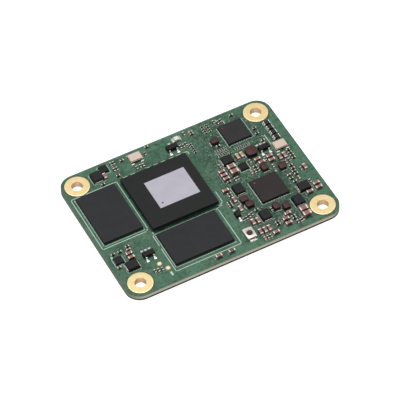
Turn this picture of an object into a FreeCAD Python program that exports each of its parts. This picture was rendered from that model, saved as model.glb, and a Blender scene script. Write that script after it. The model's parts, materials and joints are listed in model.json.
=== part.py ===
import FreeCAD
import Part
import Sketcher
import math
import os
import re

# System on module: a credit-card style computer module on a rounded circuit board.
# Frame: +X along the board's long side, +Y to its rear side, +Z out of the populated face.
# The origin is under the middle of the board, level with the mating faces of the connectors.

SIZES = {
    # Circuit board and its four plated mounting holes
    "board_length": 55.0,
    "board_width": 40.0,
    "board_thickness": 1.6,
    "corner_radius": 3.7,
    "hole_inset_across": 3.9,
    "hole_inset_deep": 3.7,
    "mounting_hole_radius": 1.35,
    "mounting_land_radius": 3.0,
    "plating_thickness": 0.05,
    "test_pad_radius": 0.42,
    # Processor: laminate on solder balls, moulding, and a bare die showing in the moulding
    "processor_side": 17.0,
    "processor_solder_height": 0.35,
    "processor_laminate": 0.4,
    "processor_moulding": 0.75,
    "die_length": 10.3,
    "die_width": 8.6,
    "die_depth": 0.3,
    "die_offset_across": 0.95,
    "die_offset_deep": 0.4,
    "ball_field_inset": 0.6,
    # Memory packages
    "memory_length": 15.0,
    "memory_width": 10.0,
    "memory_solder_height": 0.2,
    "memory_laminate": 0.2,
    "memory_moulding": 0.5,
    # Leadless chips with lands round the underside
    "network_side": 6.0,
    "power_side": 7.0,
    "leadless_height": 0.75,
    "land_pitch": 0.65,
    "land_width": 0.3,
    "land_length": 0.45,
    "land_height": 0.08,
    "land_reach": 0.08,
    "heat_pad_inset": 0.9,
    "small_leadless_side": 2.0,
    "small_leadless_height": 0.6,
    # Moulded power inductors, ferrite inductors with cut corners and a drum inductor
    "power_inductor_length": 3.2,
    "power_inductor_width": 2.5,
    "power_inductor_height": 1.0,
    "power_inductor_draft": 0.1,
    "clip_thickness": 0.12,
    "clip_width": 2.0,
    "clip_height": 0.5,
    "ferrite_length": 2.0,
    "ferrite_width": 1.6,
    "ferrite_height": 1.0,
    "ferrite_corner": 0.4,
    "ferrite_foot_width": 1.28,
    "drum_across_flats": 2.7,
    "drum_height": 1.2,
    "drum_foot_width": 1.08,
    "terminal_height": 0.12,
    "terminal_length": 0.5,
    # Crystals: ceramic base and seam-welded lid
    "crystal_length": 3.2,
    "crystal_width": 2.5,
    "crystal_base_height": 0.5,
    "crystal_lid_height": 0.3,
    "crystal_lid_inset": 0.12,
    "crystal_lid_draft": 0.06,
    # Small-outline packages with gull-wing leads
    "outline_length": 2.9,
    "outline_width": 1.5,
    "outline_height": 1.0,
    "outline_draft": 0.1,
    "outline_lift": 0.08,
    "lead_width": 0.4,
    "lead_thickness": 0.13,
    "lead_reach": 0.6,
    "lead_foot": 0.3,
    "lead_shoulder": 0.1,
    "lead_spacing": 0.95,
    "diode_length": 1.7,
    "diode_width": 1.25,
    "diode_height": 0.9,
    # Indicator lamp
    "lamp_length": 2.0,
    "lamp_width": 1.2,
    "lamp_base_height": 0.3,
    "lamp_lens_length": 1.2,
    "lamp_lens_height": 0.35,
    "lamp_lens_draft": 0.1,
    # Chip capacitors and resistors in four sizes, the two larger with metal end caps
    "cap_proud": 0.03,
    "large_chip_length": 2.0,
    "large_chip_width": 1.25,
    "large_chip_height": 1.2,
    "large_chip_end": 0.4,
    "medium_chip_length": 1.6,
    "medium_chip_width": 0.8,
    "medium_chip_height": 0.8,
    "medium_chip_end": 0.32,
    "small_chip_length": 1.0,
    "small_chip_width": 0.5,
    "small_chip_height": 0.5,
    "tiny_chip_length": 0.6,
    "tiny_chip_width": 0.3,
    "tiny_chip_height": 0.3,
    # Resistor arrays with two terminals a side
    "array_length": 1.6,
    "array_width": 1.2,
    "array_height": 0.45,
    "array_end": 0.25,
    "array_terminal_width": 0.4,
    "array_terminal_spacing": 0.65,
    # Tactile switch: base, snap dome, cover and plunger
    "switch_width": 2.3,
    "switch_length": 3.1,
    "switch_floor": 0.12,
    "switch_well_radius": 0.9,
    "switch_sheet": 0.1,
    "switch_skirt_height": 0.35,
    "switch_skirt_length": 2.17,
    "switch_window_radius": 0.75,
    "switch_travel": 0.15,
    "switch_spare": 0.03,
    "plunger_clearance": 0.07,
    "plunger_gap": 0.03,
    "plunger_proud": 0.2,
    "plunger_flange": 0.1,
    "plunger_chamfer": 0.05,
    "dome_sheet": 0.04,
    "dome_rise": 0.08,
    "switch_tab_width": 1.6,
    "switch_tab_length": 0.45,
    "switch_tab_thickness": 0.12,
    # Mezzanine connectors under the board
    "connector_width": 3.2,
    "connector_height": 1.3,
    "connector_floor": 0.35,
    "connector_wall": 0.4,
    "connector_tongue": 0.9,
    "connector_end": 1.5,
    "connector_end_wall": 0.7,
    "connector_corner": 0.3,
    "contact_pitch": 0.4,
    "contact_width": 0.18,
    "contact_thickness": 0.12,
    "contact_tail": 0.45,
}

CONTACTS_PER_ROW = 50
NETWORK_LANDS_PER_SIDE = 8
POWER_LANDS_PER_SIDE = 9
SMALL_LANDS_PER_SIDE = 2
DRUM_SIDES = 8

# Expressions that several features share
HOLE_ACROSS = "board_length / 2 - hole_inset_across"
HOLE_DEEP = "board_width / 2 - hole_inset_deep"
# The switch's base is as high as what it holds: dome, spare room, travel, flange and gap.
SWITCH_BASE_HEIGHT = (
    "(switch_floor + dome_rise + dome_sheet + switch_spare + switch_travel"
    " + plunger_flange + plunger_gap)"
)

# A sketch's codes for a curve's start, end and centre, and for the sketch's own axes
START, END, CENTRE = 1, 2, 3
AXES = -1
# Length given to new sketch geometry until its own size is bound
FIRST_GUESS = 1.0
# Two lengths closer than this are one length
SAME_LENGTH = 1e-6

# The board is ruled into this many squares. Places are in squares from its middle, so they
# stretch with the board.
SQUARES_ALONG = 55
SQUARES_DEEP = 40

PROCESSOR_PLACE = (-5.9, 3.7)
LEFT_MEMORY_PLACE = (-20.9, 4.85)
FRONT_MEMORY_PLACE = (-6.8, -11.05)
NETWORK_PLACE = (16.15, 13.0)
POWER_PLACE = (15.15, -6.0)
SWITCH_PLACE = (4.66, -15.95)
LAMP_PLACE = (3.2, 17.85)
DRUM_PLACE = (16.55, 5.5)
DIODE_PLACE = (4.9, -9.6)
THREE_LEAD_PLACE = (1.05, 15.85)
FIVE_LEAD_PLACES = [(19.85, 5.35), (-18.3, -10.0)]
TEST_PAD_PLACES = [(-17.3, -13.5), (-16.15, -15.5)]
SMALL_LEADLESS_PLACES = [(13.0, 2.6), (-25.1, -8.35), (-16.0, 17.75)]
CRYSTAL_PLACES = [(-7.9, 17.4), (23.6, 4.35)]

# Each list holds parts of one size and one direction: across lies along X, deep along Y.
POWER_INDUCTORS_ACROSS = [(10.55, 5.9), (22.3, -9.65), (-23.05, -11.25)]
POWER_INDUCTORS_DEEP = [(8.65, -3.15), (19.15, -12.75), (10.4, -12.95), (-18.55, 16.25)]
FERRITES_ACROSS = [(10.65, 12.55), (8.3, -6.5), (8.8, -8.4)]
FERRITES_DEEP = [(17.05, -0.15), (20.85, -1.85), (13.8, -11.85), (15.9, -12.85)]
LARGE_ACROSS = [(10.3, 3.55), (10.3, 1.9), (18.9, -15.7), (18.9, -17.35)]
MEDIUM_ACROSS = [
    (7.7, 3.5), (7.7, 2.3), (7.7, 1.1), (16.8, 2.9), (17.3, 1.6), (19.75, 2.4), (19.7, 1.1),
    (25.3, -10.2), (25.3, -11.5), (22.8, -11.7), (15.1, -15.0), (14.0, -16.2), (14.0, -17.6),
    (5.8, -2.0), (10.2, -18.6), (-4.6, -18.4), (-1.3, -18.5), (-22.2, -7.75), (-22.2, -9.0),
]
MEDIUM_DEEP = [
    (21.8, 0.9), (23.0, 0.9), (25.4, -4.5), (6.3, -5.5), (6.3, -8.5), (6.95, -13.45),
    (8.15, -13.55), (7.05, -16.8), (8.25, -16.8), (9.35, -16.8), (-16.7, 15.6),
]
FILM_CAPACITORS_DEEP = [(13.15, 5.8), (14.3, 5.8)]
SMALL_CAPACITORS_ACROSS = [
    (24.55, 2.1), (24.55, 1.2), (24.55, 0.3), (24.55, -0.6), (21.0, -4.8), (21.0, -6.0),
    (21.3, -7.2), (22.7, -5.2), (22.6, -4.3), (22.8, -3.4), (22.8, -2.4), (15.3, 1.3),
    (7.85, 0.1), (6.15, -3.1), (6.15, -3.9), (-11.05, 18.2), (-4.1, 19.1), (7.1, 18.2),
    (7.1, 17.5), (17.9, 18.2), (-25.5, -6.15), (-23.8, -6.15), (-21.7, -6.5),
]
SMALL_CAPACITORS_DEEP = [
    (14.75, 0.0), (15.65, 0.0), (13.85, 0.0), (22.4, -1.0), (23.4, -0.8), (24.4, -4.5),
    (22.7, -6.7), (24.5, -8.8), (18.5, 2.1), (19.1, -0.7), (7.1, -18.9), (7.9, -18.9),
    (8.65, -18.9), (-19.3, -15.2), (-18.4, -15.3), (-17.45, -15.4), (-8.9, 14.4),
    (-8.0, 14.4), (-7.2, 14.4), (15.1, 3.2), (8.2, 5.3),
]
SMALL_RESISTORS_ACROSS = [
    (4.85, -5.4), (4.85, -6.05), (4.85, -6.7), (9.4, -10.4), (11.8, -15.9), (11.8, -16.7),
    (15.9, -16.1), (15.9, -16.8), (20.8, 7.6), (20.8, 11.8), (20.6, 10.1), (10.8, 11.1),
    (-21.6, -5.6), (-25.9, -10.3), (-13.85, 14.4), (-18.1, 13.7),
]
SMALL_RESISTORS_DEEP = [
    (-13.8, 18.3), (-13.05, 18.3), (-13.8, 16.4), (-13.05, 16.4), (9.5, 0.0), (10.2, 0.0),
    (5.5, -11.6), (6.3, -11.5), (7.2, -11.3), (8.0, -11.0), (12.5, -12.0), (16.1, -18.2),
    (16.9, -18.2), (17.5, -18.0), (-5.3, 17.3), (13.3, 18.2), (14.2, 17.6), (15.0, 17.8),
    (5.5, 18.4), (3.0, 15.1), (3.8, 15.1), (4.5, 15.3),
]
ARRAY_PLACES = [(24.25, 12.0), (24.25, 10.35), (24.25, 8.7), (24.25, 7.05)]



def row_of(count, first, last):
    """Evenly spaced places in a straight row from the first place to the last."""
    steps = [number / (count - 1) for number in range(count)]
    return [
        tuple(start + step * (end - start) for start, end in zip(first, last))
        for step in steps
    ]


TINY_DEEP = (
    row_of(8, (13.8, 8.35), (17.58, 8.35))
    + row_of(6, (9.4, 9.8), (12.15, 9.8))
    + row_of(6, (9.4, 8.4), (12.15, 8.4))
)
TINY_ACROSS = (
    row_of(4, (10.2, 16.2), (10.2, 18.45))
    + row_of(4, (11.4, 16.2), (11.4, 18.45))
    + row_of(5, (5.3, 12.1), (5.3, 14.9))
)
UNDERSIDE_COLUMNS = 4
UNDERSIDE_ROWS = 4
UNDERSIDE_STEP = 2.2

doc = FreeCAD.newDocument("SystemOnModule")
sheet = doc.addObject("Spreadsheet::Sheet", "Sizes")
for row, (alias, value) in enumerate(SIZES.items(), start=1):
    sheet.set("A%d" % row, alias)
    sheet.set("B%d" % row, str(value))
    sheet.setAlias("B%d" % row, alias)
doc.recompute()

nodes = []


def size(alias):
    """Value of one cell of the sheet, in millimetres."""
    return float(getattr(sheet, alias))


def bound(text):
    """Expression text with each size's alias pointed at the sheet."""
    return re.sub(r"[a-z_]+", lambda word: name_in_sheet(word.group(0)), text)


def name_in_sheet(word):
    """The sheet's cell for an alias, or the word itself for a function name."""
    if word in SIZES:
        return "Sizes." + word
    return word


def bind(feature, **expressions):
    """Bind properties of a feature to sizes; a double underscore stands for a dot."""
    for name, text in expressions.items():
        feature.setExpression(name.replace("__", "."), bound(text))


def add_node(feature, label):
    """Keep a feature as a sub-part of the module under its own label."""
    feature.Label = label
    nodes.append(feature)
    return feature


def box(name, length, width, height, across="0", deep="0", level="0"):
    """Box centred on a point of the plan, its underside at the given level."""
    feature = doc.addObject("Part::Box", name)
    bind(feature, Length=length, Width=width, Height=height)
    bind(
        feature,
        Placement__Base__x="%s - (%s) / 2" % (across, length),
        Placement__Base__y="%s - (%s) / 2" % (deep, width),
        Placement__Base__z=level,
    )
    return feature


def cylinder(name, radius, height, level="0"):
    """Upright cylinder on the origin's axis."""
    feature = doc.addObject("Part::Cylinder", name)
    bind(feature, Radius=radius, Height=height, Placement__Base__z=level)
    return feature


def drafted_block(name, length, width, height, draft, level="0"):
    """Moulded block whose four sides lean in by the draft from its foot to its top."""
    feature = doc.addObject("Part::Wedge", name)
    feature.Placement.Rotation = FreeCAD.Rotation(FreeCAD.Vector(1, 0, 0), 90)
    bind(
        feature,
        Xmin="-(%s) / 2" % length,
        Xmax="(%s) / 2" % length,
        Zmin="-(%s) / 2" % width,
        Zmax="(%s) / 2" % width,
        Ymin="0",
        Ymax=height,
        X2min="-(%s) / 2 + %s" % (length, draft),
        X2max="(%s) / 2 - %s" % (length, draft),
        Z2min="-(%s) / 2 + %s" % (width, draft),
        Z2max="(%s) / 2 - %s" % (width, draft),
        Placement__Base__z=level,
    )
    return feature


def fuse(name, *features):
    """One piece made from several overlapping or meeting features."""
    result = doc.addObject("Part::MultiFuse", name)
    result.Shapes = list(features)
    result.Refine = True
    return result


def cut(name, base, tool):
    """Base with the tool's volume taken out of it."""
    result = doc.addObject("Part::Cut", name)
    result.Base = base
    result.Tool = tool
    return result


def group(name, *features):
    """Several separate features kept together as one."""
    result = doc.addObject("Part::Compound", name)
    result.Links = list(features)
    return result


def spot(place, turn=0.0):
    """Placement on the board's face for a place in squares, turned about +Z."""
    across = place[0] * size("board_length") / SQUARES_ALONG
    deep = place[1] * size("board_width") / SQUARES_DEEP
    where = FreeCAD.Vector(across, deep, 0)
    return FreeCAD.Placement(where, FreeCAD.Rotation(FreeCAD.Vector(0, 0, 1), turn))


def copies(unit, placements):
    """Separate solids of a unit, one set for each placement."""
    solids = []
    for placement in placements:
        for solid in unit.Shape.Solids:
            copy = solid.copy()
            copy.Placement = placement.multiply(copy.Placement)
            solids.append(copy)
    return solids


def on_face(label, solids, underside=False):
    """Sub-part of separate solids seated on the board's upper face or its underside."""
    feature = doc.addObject("Part::Feature", label)
    feature.Shape = Part.makeCompound(solids)
    level = "connector_height + board_thickness"
    if underside:
        feature.Placement.Rotation = FreeCAD.Rotation(FreeCAD.Vector(1, 0, 0), 180)
        level = "connector_height"
    bind(feature, Placement__Base__z=level)
    return add_node(feature, label)


def both_ways(across, deep):
    """Placements for parts lying along X and for parts turned to lie along Y."""
    return [spot(place) for place in across] + [spot(place, 90) for place in deep]


def origin_plane(body, role):
    """The body's own origin plane with the given role."""
    for feature in body.Origin.OriginFeatures:
        if feature.Role == role:
            return feature
    raise ValueError(role)


def sketch_on_plan(body, name, level="0"):
    """Empty sketch parallel to the body's own XY plane at a level."""
    sketch = body.newObject("Sketcher::SketchObject", name)
    sketch.AttachmentSupport = [(origin_plane(body, "XY_Plane"), "")]
    sketch.MapMode = "FlatFace"
    bind(sketch, AttachmentOffset__Base__z=level)
    return sketch


def draw_rectangle(sketch, name, length, width):
    """Rectangle centred on the sketch's origin, its sides bound to sizes."""
    corners = [(-1, -1), (1, -1), (1, 1), (-1, 1)]
    points = [FreeCAD.Vector(across, deep, 0) for across, deep in corners]
    sides = []
    for index, start in enumerate(points):
        end = points[(index + 1) % len(points)]
        sides.append(sketch.addGeometry(Part.LineSegment(start, end), False))
    for index, side in enumerate(sides):
        following = sides[(index + 1) % len(sides)]
        meeting = Sketcher.Constraint("Coincident", side, END, following, START)
        sketch.addConstraint(meeting)
    for side in (sides[0], sides[2]):
        sketch.addConstraint(Sketcher.Constraint("Horizontal", side))
    for side in (sides[1], sides[3]):
        sketch.addConstraint(Sketcher.Constraint("Vertical", side))
    middle = Sketcher.Constraint("Symmetric", sides[0], START, sides[2], START, AXES, START)
    sketch.addConstraint(middle)
    for suffix, kind, side, text in (
        ("length", "DistanceX", sides[0], length),
        ("width", "DistanceY", sides[1], width),
    ):
        index = sketch.addConstraint(
            Sketcher.Constraint(kind, side, START, side, END, 2 * FIRST_GUESS)
        )
        sketch.renameConstraint(index, name + "_" + suffix)
        sketch.setExpression("Constraints.%s_%s" % (name, suffix), bound(text))


def draw_corner_circles(sketch, radius, across, deep):
    """Four equal circles, one in each quarter of the sketch."""
    for number, (way, depth) in enumerate(((1, 1), (-1, 1), (-1, -1), (1, -1))):
        centre = FreeCAD.Vector(way, depth, 0)
        circle = sketch.addGeometry(
            Part.Circle(centre, FreeCAD.Vector(0, 0, 1), FIRST_GUESS / 2), False
        )
        for kind, sign, text in (("DistanceX", way, across), ("DistanceY", depth, deep)):
            ends = (AXES, START, circle, CENTRE)
            if sign < 0:
                ends = (circle, CENTRE, AXES, START)
            index = sketch.addConstraint(Sketcher.Constraint(kind, *ends, FIRST_GUESS))
            title = "%s_%d" % (kind, number)
            sketch.renameConstraint(index, title)
            sketch.setExpression("Constraints." + title, bound(text))
        index = sketch.addConstraint(Sketcher.Constraint("Radius", circle, FIRST_GUESS / 2))
        title = "radius_%d" % number
        sketch.renameConstraint(index, title)
        sketch.setExpression("Constraints." + title, bound(radius))


def is_upright(edge):
    """Whether a straight edge runs along +Z."""
    rise = abs(edge.Vertexes[0].Point.z - edge.Vertexes[-1].Point.z)
    return rise > SAME_LENGTH and abs(rise - edge.Length) < SAME_LENGTH


def upright_edges(shape):
    """Names of a shape's edges that run along +Z."""
    return [
        "Edge%d" % number
        for number, edge in enumerate(shape.Edges, start=1)
        if is_upright(edge)
    ]


def make_circuit_board():
    """Board blank with round corners, drilled for the four plated holes."""
    body = doc.addObject("PartDesign::Body", "BoardBody")
    outline = sketch_on_plan(body, "BoardOutline")
    draw_rectangle(outline, "board", "board_length", "board_width")
    blank = body.newObject("PartDesign::Pad", "BoardBlank")
    blank.Profile = outline
    bind(blank, Length="board_thickness")
    doc.recompute()
    corners = body.newObject("PartDesign::Fillet", "BoardCorners")
    corners.Base = (blank, upright_edges(blank.Shape))
    bind(corners, Radius="corner_radius")
    doc.recompute()
    drilling = sketch_on_plan(body, "BoardDrilling", "board_thickness")
    drilled_radius = "mounting_hole_radius + plating_thickness"
    draw_corner_circles(drilling, drilled_radius, HOLE_ACROSS, HOLE_DEEP)
    holes = body.newObject("PartDesign::Pocket", "BoardHoles")
    holes.Profile = drilling
    bind(holes, Length="board_thickness")
    bind(body, Placement__Base__z="connector_height")
    add_node(body, "circuit_board")


def make_mounting_sleeves():
    """Copper sleeve of each mounting hole: a land on both faces and the plated wall."""
    upper = cylinder("UpperLand", "mounting_land_radius", "plating_thickness")
    lower = cylinder(
        "LowerLand",
        "mounting_land_radius",
        "plating_thickness",
        "-board_thickness - plating_thickness",
    )
    full_height = "board_thickness + 2 * plating_thickness"
    foot = "-board_thickness - plating_thickness"
    wall_radius = "mounting_hole_radius + plating_thickness"
    wall = cylinder("PlatedWall", wall_radius, full_height, foot)
    drill = cylinder("PlatedBore", "mounting_hole_radius", full_height, foot)
    sleeve = cut("MountingSleeve", fuse("SleeveMetal", upper, lower, wall), drill)
    doc.recompute()
    across = size("board_length") / 2 - size("hole_inset_across")
    deep = size("board_width") / 2 - size("hole_inset_deep")
    places = [
        FreeCAD.Placement(FreeCAD.Vector(way * across, depth * deep, 0), FreeCAD.Rotation())
        for way in (-1, 1)
        for depth in (-1, 1)
    ]
    on_face("mounting_rings", copies(sleeve, places))


def make_test_pads():
    """Round plated pads for probes."""
    pad = cylinder("TestPad", "test_pad_radius", "plating_thickness")
    doc.recompute()
    on_face("test_pads", copies(pad, [spot(place) for place in TEST_PAD_PLACES]))


def make_processor():
    """Ball-grid package: ball field, laminate, moulding and the die bare in its top."""
    field_side = "processor_side - 2 * ball_field_inset"
    field = box("BallField", field_side, field_side, "processor_solder_height")
    laminate = box(
        "ProcessorLaminate",
        "processor_side",
        "processor_side",
        "processor_laminate",
        level="processor_solder_height",
    )
    foot = "processor_solder_height + processor_laminate"
    block = box(
        "ProcessorBlock", "processor_side", "processor_side", "processor_moulding", level=foot
    )
    seat = dict(
        across="die_offset_across",
        deep="die_offset_deep",
        level=foot + " + processor_moulding - die_depth",
    )
    recess = box("DieRecess", "die_length", "die_width", "die_depth", **seat)
    die = box("Die", "die_length", "die_width", "die_depth", **seat)
    moulding = cut("ProcessorMoulding", block, recess)
    doc.recompute()
    where = [spot(PROCESSOR_PLACE)]
    on_face("processor_solder", copies(field, where))
    on_face("processor_laminate", copies(laminate, where))
    on_face("processor_moulding", copies(moulding, where))
    on_face("processor_die", copies(die, where))


def make_memories():
    """Two like memory packages, one turned to stand along Y at the left."""
    field = box(
        "MemoryBallField",
        "memory_length - 2 * ball_field_inset",
        "memory_width - 2 * ball_field_inset",
        "memory_solder_height",
    )
    laminate = box(
        "MemoryLaminate",
        "memory_length",
        "memory_width",
        "memory_laminate",
        level="memory_solder_height",
    )
    moulding = box(
        "MemoryMoulding",
        "memory_length",
        "memory_width",
        "memory_moulding",
        level="memory_solder_height + memory_laminate",
    )
    doc.recompute()
    for title, where in (
        ("left_memory", spot(LEFT_MEMORY_PLACE, 90)),
        ("front_memory", spot(FRONT_MEMORY_PLACE)),
    ):
        on_face(title + "_solder", copies(field, [where]))
        on_face(title + "_laminate", copies(laminate, [where]))
        on_face(title + "_moulding", copies(moulding, [where]))


def make_leadless(name, side, height, lands_per_side):
    """Square leadless package and, under it, its lands and heat pad."""
    body_height = "%s - land_height" % height
    body = box(name + "Body", side, side, body_height, level="land_height")
    pad_side = "%s - 2 * heat_pad_inset" % side
    pad = box(name + "HeatPad", pad_side, pad_side, "land_height")
    land = box(
        name + "Land",
        "land_width",
        "land_length",
        "land_height",
        deep="(%s) / 2 + land_reach - land_length / 2" % side,
    )
    doc.recompute()
    solids = copies(pad, [FreeCAD.Placement()])
    for turn in range(0, 360, 90):
        about = FreeCAD.Rotation(FreeCAD.Vector(0, 0, 1), turn)
        for index in range(lands_per_side):
            shift = (index - (lands_per_side - 1) / 2) * size("land_pitch")
            slide = FreeCAD.Placement(FreeCAD.Vector(shift, 0, 0), FreeCAD.Rotation())
            turned = FreeCAD.Placement(FreeCAD.Vector(), about).multiply(slide)
            solids.extend(copies(land, [turned]))
    lands = doc.addObject("Part::Feature", name + "Lands")
    lands.Shape = Part.makeCompound(solids)
    return body, lands


def make_leadless_chips():
    """Network controller, power controller and three small converters."""
    network = make_leadless("Network", "network_side", "leadless_height", NETWORK_LANDS_PER_SIDE)
    power = make_leadless("Power", "power_side", "leadless_height", POWER_LANDS_PER_SIDE)
    converter = make_leadless(
        "Converter", "small_leadless_side", "small_leadless_height", SMALL_LANDS_PER_SIDE
    )
    for (body, lands), body_label, lands_label, places in (
        (network, "network_chip_body", "network_chip_lands", [NETWORK_PLACE]),
        (power, "power_chip_body", "power_chip_lands", [POWER_PLACE]),
        (converter, "converter_bodies", "converter_lands", SMALL_LEADLESS_PLACES),
    ):
        where = [spot(place) for place in places]
        on_face(body_label, copies(body, where))
        on_face(lands_label, copies(lands, where))


def make_power_inductors():
    """Moulded inductors with metal clips folded up both ends."""
    body = drafted_block(
        "InductorBlock",
        "power_inductor_length - 2 * clip_thickness",
        "power_inductor_width",
        "power_inductor_height",
        "power_inductor_draft",
    )
    clips = []
    for side in ("-", "+"):
        clips.append(
            box(
                "InductorClip",
                "clip_thickness",
                "clip_width",
                "clip_height",
                across="%s(power_inductor_length / 2 - clip_thickness / 2)" % side,
            )
        )
    pair = group("InductorClips", *clips)
    doc.recompute()
    where = both_ways(POWER_INDUCTORS_ACROSS, POWER_INDUCTORS_DEEP)
    on_face("power_inductor_bodies", copies(body, where))
    on_face("power_inductor_clips", copies(pair, where))


def end_terminals(name, length, width, end_length, height):
    """Pair of plain terminals under or over the two ends of a part."""
    ends = []
    for side in ("-", "+"):
        across = "%s((%s) / 2 - (%s) / 2)" % (side, length, end_length)
        ends.append(box(name, end_length, width, height, across=across))
    return group(name + "Pair", *ends)


def make_ferrites():
    """Ferrite inductors with cut corners on flat feet, and one eight-sided drum."""
    feet = end_terminals(
        "FerriteFoot", "ferrite_length", "ferrite_foot_width", "terminal_length",
        "terminal_height",
    )
    doc.recompute()
    block = Part.makeBox(
        size("ferrite_length"),
        size("ferrite_width"),
        size("ferrite_height") - size("terminal_height"),
        FreeCAD.Vector(
            -size("ferrite_length") / 2, -size("ferrite_width") / 2, size("terminal_height")
        ),
    )
    upright = [edge for edge in block.Edges if is_upright(edge)]
    ferrite = doc.addObject("Part::Feature", "FerriteBlock")
    ferrite.Shape = block.makeChamfer(size("ferrite_corner"), upright)
    where = both_ways(FERRITES_ACROSS, FERRITES_DEEP)
    on_face("ferrite_inductor_bodies", copies(ferrite, where))
    on_face("ferrite_inductor_feet", copies(feet, where))
    drum = doc.addObject("Part::Prism", "DrumCore")
    drum.Polygon = DRUM_SIDES
    drum.Placement.Rotation = FreeCAD.Rotation(FreeCAD.Vector(0, 0, 1), 180 / DRUM_SIDES)
    bind(
        drum,
        Circumradius="drum_across_flats / 2 / cos(%g deg)" % (180 / DRUM_SIDES),
        Height="drum_height - terminal_height",
        Placement__Base__z="terminal_height",
    )
    drum_feet = end_terminals(
        "DrumFoot", "drum_across_flats", "drum_foot_width", "terminal_length",
        "terminal_height",
    )
    doc.recompute()
    on_face("drum_inductor_core", copies(drum, [spot(DRUM_PLACE)]))
    on_face("drum_inductor_feet", copies(drum_feet, [spot(DRUM_PLACE)]))


def make_crystals():
    """Ceramic crystal bases and the metal lids welded to them."""
    base = box("CrystalBase", "crystal_length", "crystal_width", "crystal_base_height")
    lid = drafted_block(
        "CrystalLid",
        "crystal_length - 2 * crystal_lid_inset",
        "crystal_width - 2 * crystal_lid_inset",
        "crystal_lid_height",
        "crystal_lid_draft",
        "crystal_base_height",
    )
    doc.recompute()
    where = [spot(place) for place in CRYSTAL_PLACES]
    on_face("crystal_bases", copies(base, where))
    on_face("crystal_lids", copies(lid, where))


def gull_wing(name, edge, level):
    """Lead out of a package's side at a level, down a slope and along the board."""
    thickness = size("lead_thickness")
    width = size("lead_width")
    bend = edge + size("lead_shoulder")
    toe = edge + size("lead_reach")
    heel = toe - size("lead_foot")
    outline = [
        (edge, level),
        (bend, level),
        (heel, 0),
        (toe, 0),
        (toe, thickness),
        (heel + thickness / 2, thickness),
        (bend + thickness / 2, level + thickness),
        (edge, level + thickness),
    ]
    points = [FreeCAD.Vector(-width / 2, deep, rise) for deep, rise in outline]
    profile = Part.Face(Part.makePolygon(points + points[:1]))
    lead = doc.addObject("Part::Feature", name)
    lead.Shape = profile.extrude(FreeCAD.Vector(width, 0, 0))
    return lead


def make_outline_packages():
    """Three small-outline packages and a diode, with their gull-wing leads."""
    half = "(outline_height - outline_lift) / 2"
    upper = drafted_block(
        "OutlineUpper", "outline_length", "outline_width", half, "outline_draft",
        "outline_lift + " + half,
    )
    lower = drafted_block(
        "OutlineLower", "outline_length", "outline_width", half, "outline_draft"
    )
    doc.recompute()
    flip = FreeCAD.Placement(
        FreeCAD.Vector(0, 0, (size("outline_height") + size("outline_lift")) / 2),
        FreeCAD.Rotation(FreeCAD.Vector(1, 0, 0), 180),
    )
    turned = copies(lower, [flip])[0]
    body = doc.addObject("Part::Feature", "OutlineBody")
    body.Shape = upper.Shape.fuse(turned).removeSplitter()
    middle = (size("outline_height") + size("outline_lift")) / 2 - size("lead_thickness") / 2
    lead = gull_wing("GullWing", size("outline_width") / 2, middle)
    step = size("lead_spacing")
    three, two, one = (-step, 0, step), (-step, step), (0,)
    packages = [(THREE_LEAD_PLACE, two, one)]
    packages.extend((place, two, three) for place in FIVE_LEAD_PLACES)
    bodies = []
    leads = []
    for place, front, rear in packages:
        where = spot(place)
        bodies.extend(copies(body, [where]))
        for shifts, turn in ((rear, 0), (front, 180)):
            for shift in shifts:
                slide = FreeCAD.Placement(
                    FreeCAD.Vector(shift, 0, 0), FreeCAD.Rotation(FreeCAD.Vector(0, 0, 1), turn)
                )
                leads.extend(copies(lead, [where.multiply(slide)]))
    diode = drafted_block(
        "DiodeBlock", "diode_width", "diode_length", "diode_height - outline_lift",
        "outline_draft", "outline_lift",
    )
    doc.recompute()
    bodies.extend(copies(diode, [spot(DIODE_PLACE)]))
    strap = gull_wing("DiodeLead", size("diode_length") / 2, size("outline_lift"))
    leads.extend(copies(strap, [spot(DIODE_PLACE), spot(DIODE_PLACE, 180)]))
    on_face("outline_package_bodies", bodies)
    on_face("outline_package_leads", leads)


def make_lamp():
    """Indicator lamp: base with wrapped ends and a clear block lens."""
    base = box(
        "LampBase", "lamp_length - 2 * terminal_height", "lamp_width", "lamp_base_height"
    )
    lens = drafted_block(
        "LampLens", "lamp_lens_length", "lamp_width", "lamp_lens_height", "lamp_lens_draft",
        "lamp_base_height",
    )
    ends = end_terminals(
        "LampEnd", "lamp_length", "lamp_width", "terminal_height", "lamp_base_height"
    )
    doc.recompute()
    where = [spot(LAMP_PLACE)]
    on_face("lamp_base", copies(base, where))
    on_face("lamp_lens", copies(lens, where))
    on_face("lamp_terminals", copies(ends, where))


def chip_parts(prefix):
    """Body and pair of end caps of a chip part, from the sizes with this prefix."""
    length = prefix + "_length"
    width = prefix + "_width"
    height = prefix + "_height"
    end = prefix + "_end"
    body = box(
        prefix + "_core",
        "%s - 2 * %s" % (length, end),
        "%s - 2 * cap_proud" % width,
        "%s - 2 * cap_proud" % height,
        level="cap_proud",
    )
    ends = end_terminals(prefix + "_ends", length, width, end, height)
    doc.recompute()
    return body, ends


def underside_places():
    """Square of places under the processor, as seen from below."""
    middle_column = (UNDERSIDE_COLUMNS - 1) / 2
    middle_row = (UNDERSIDE_ROWS - 1) / 2
    places = []
    for column in range(UNDERSIDE_COLUMNS):
        for line in range(UNDERSIDE_ROWS):
            across = PROCESSOR_PLACE[0] + (column - middle_column) * UNDERSIDE_STEP
            deep = PROCESSOR_PLACE[1] + (line - middle_row) * UNDERSIDE_STEP
            places.append((across, -deep))
    return places


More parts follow.
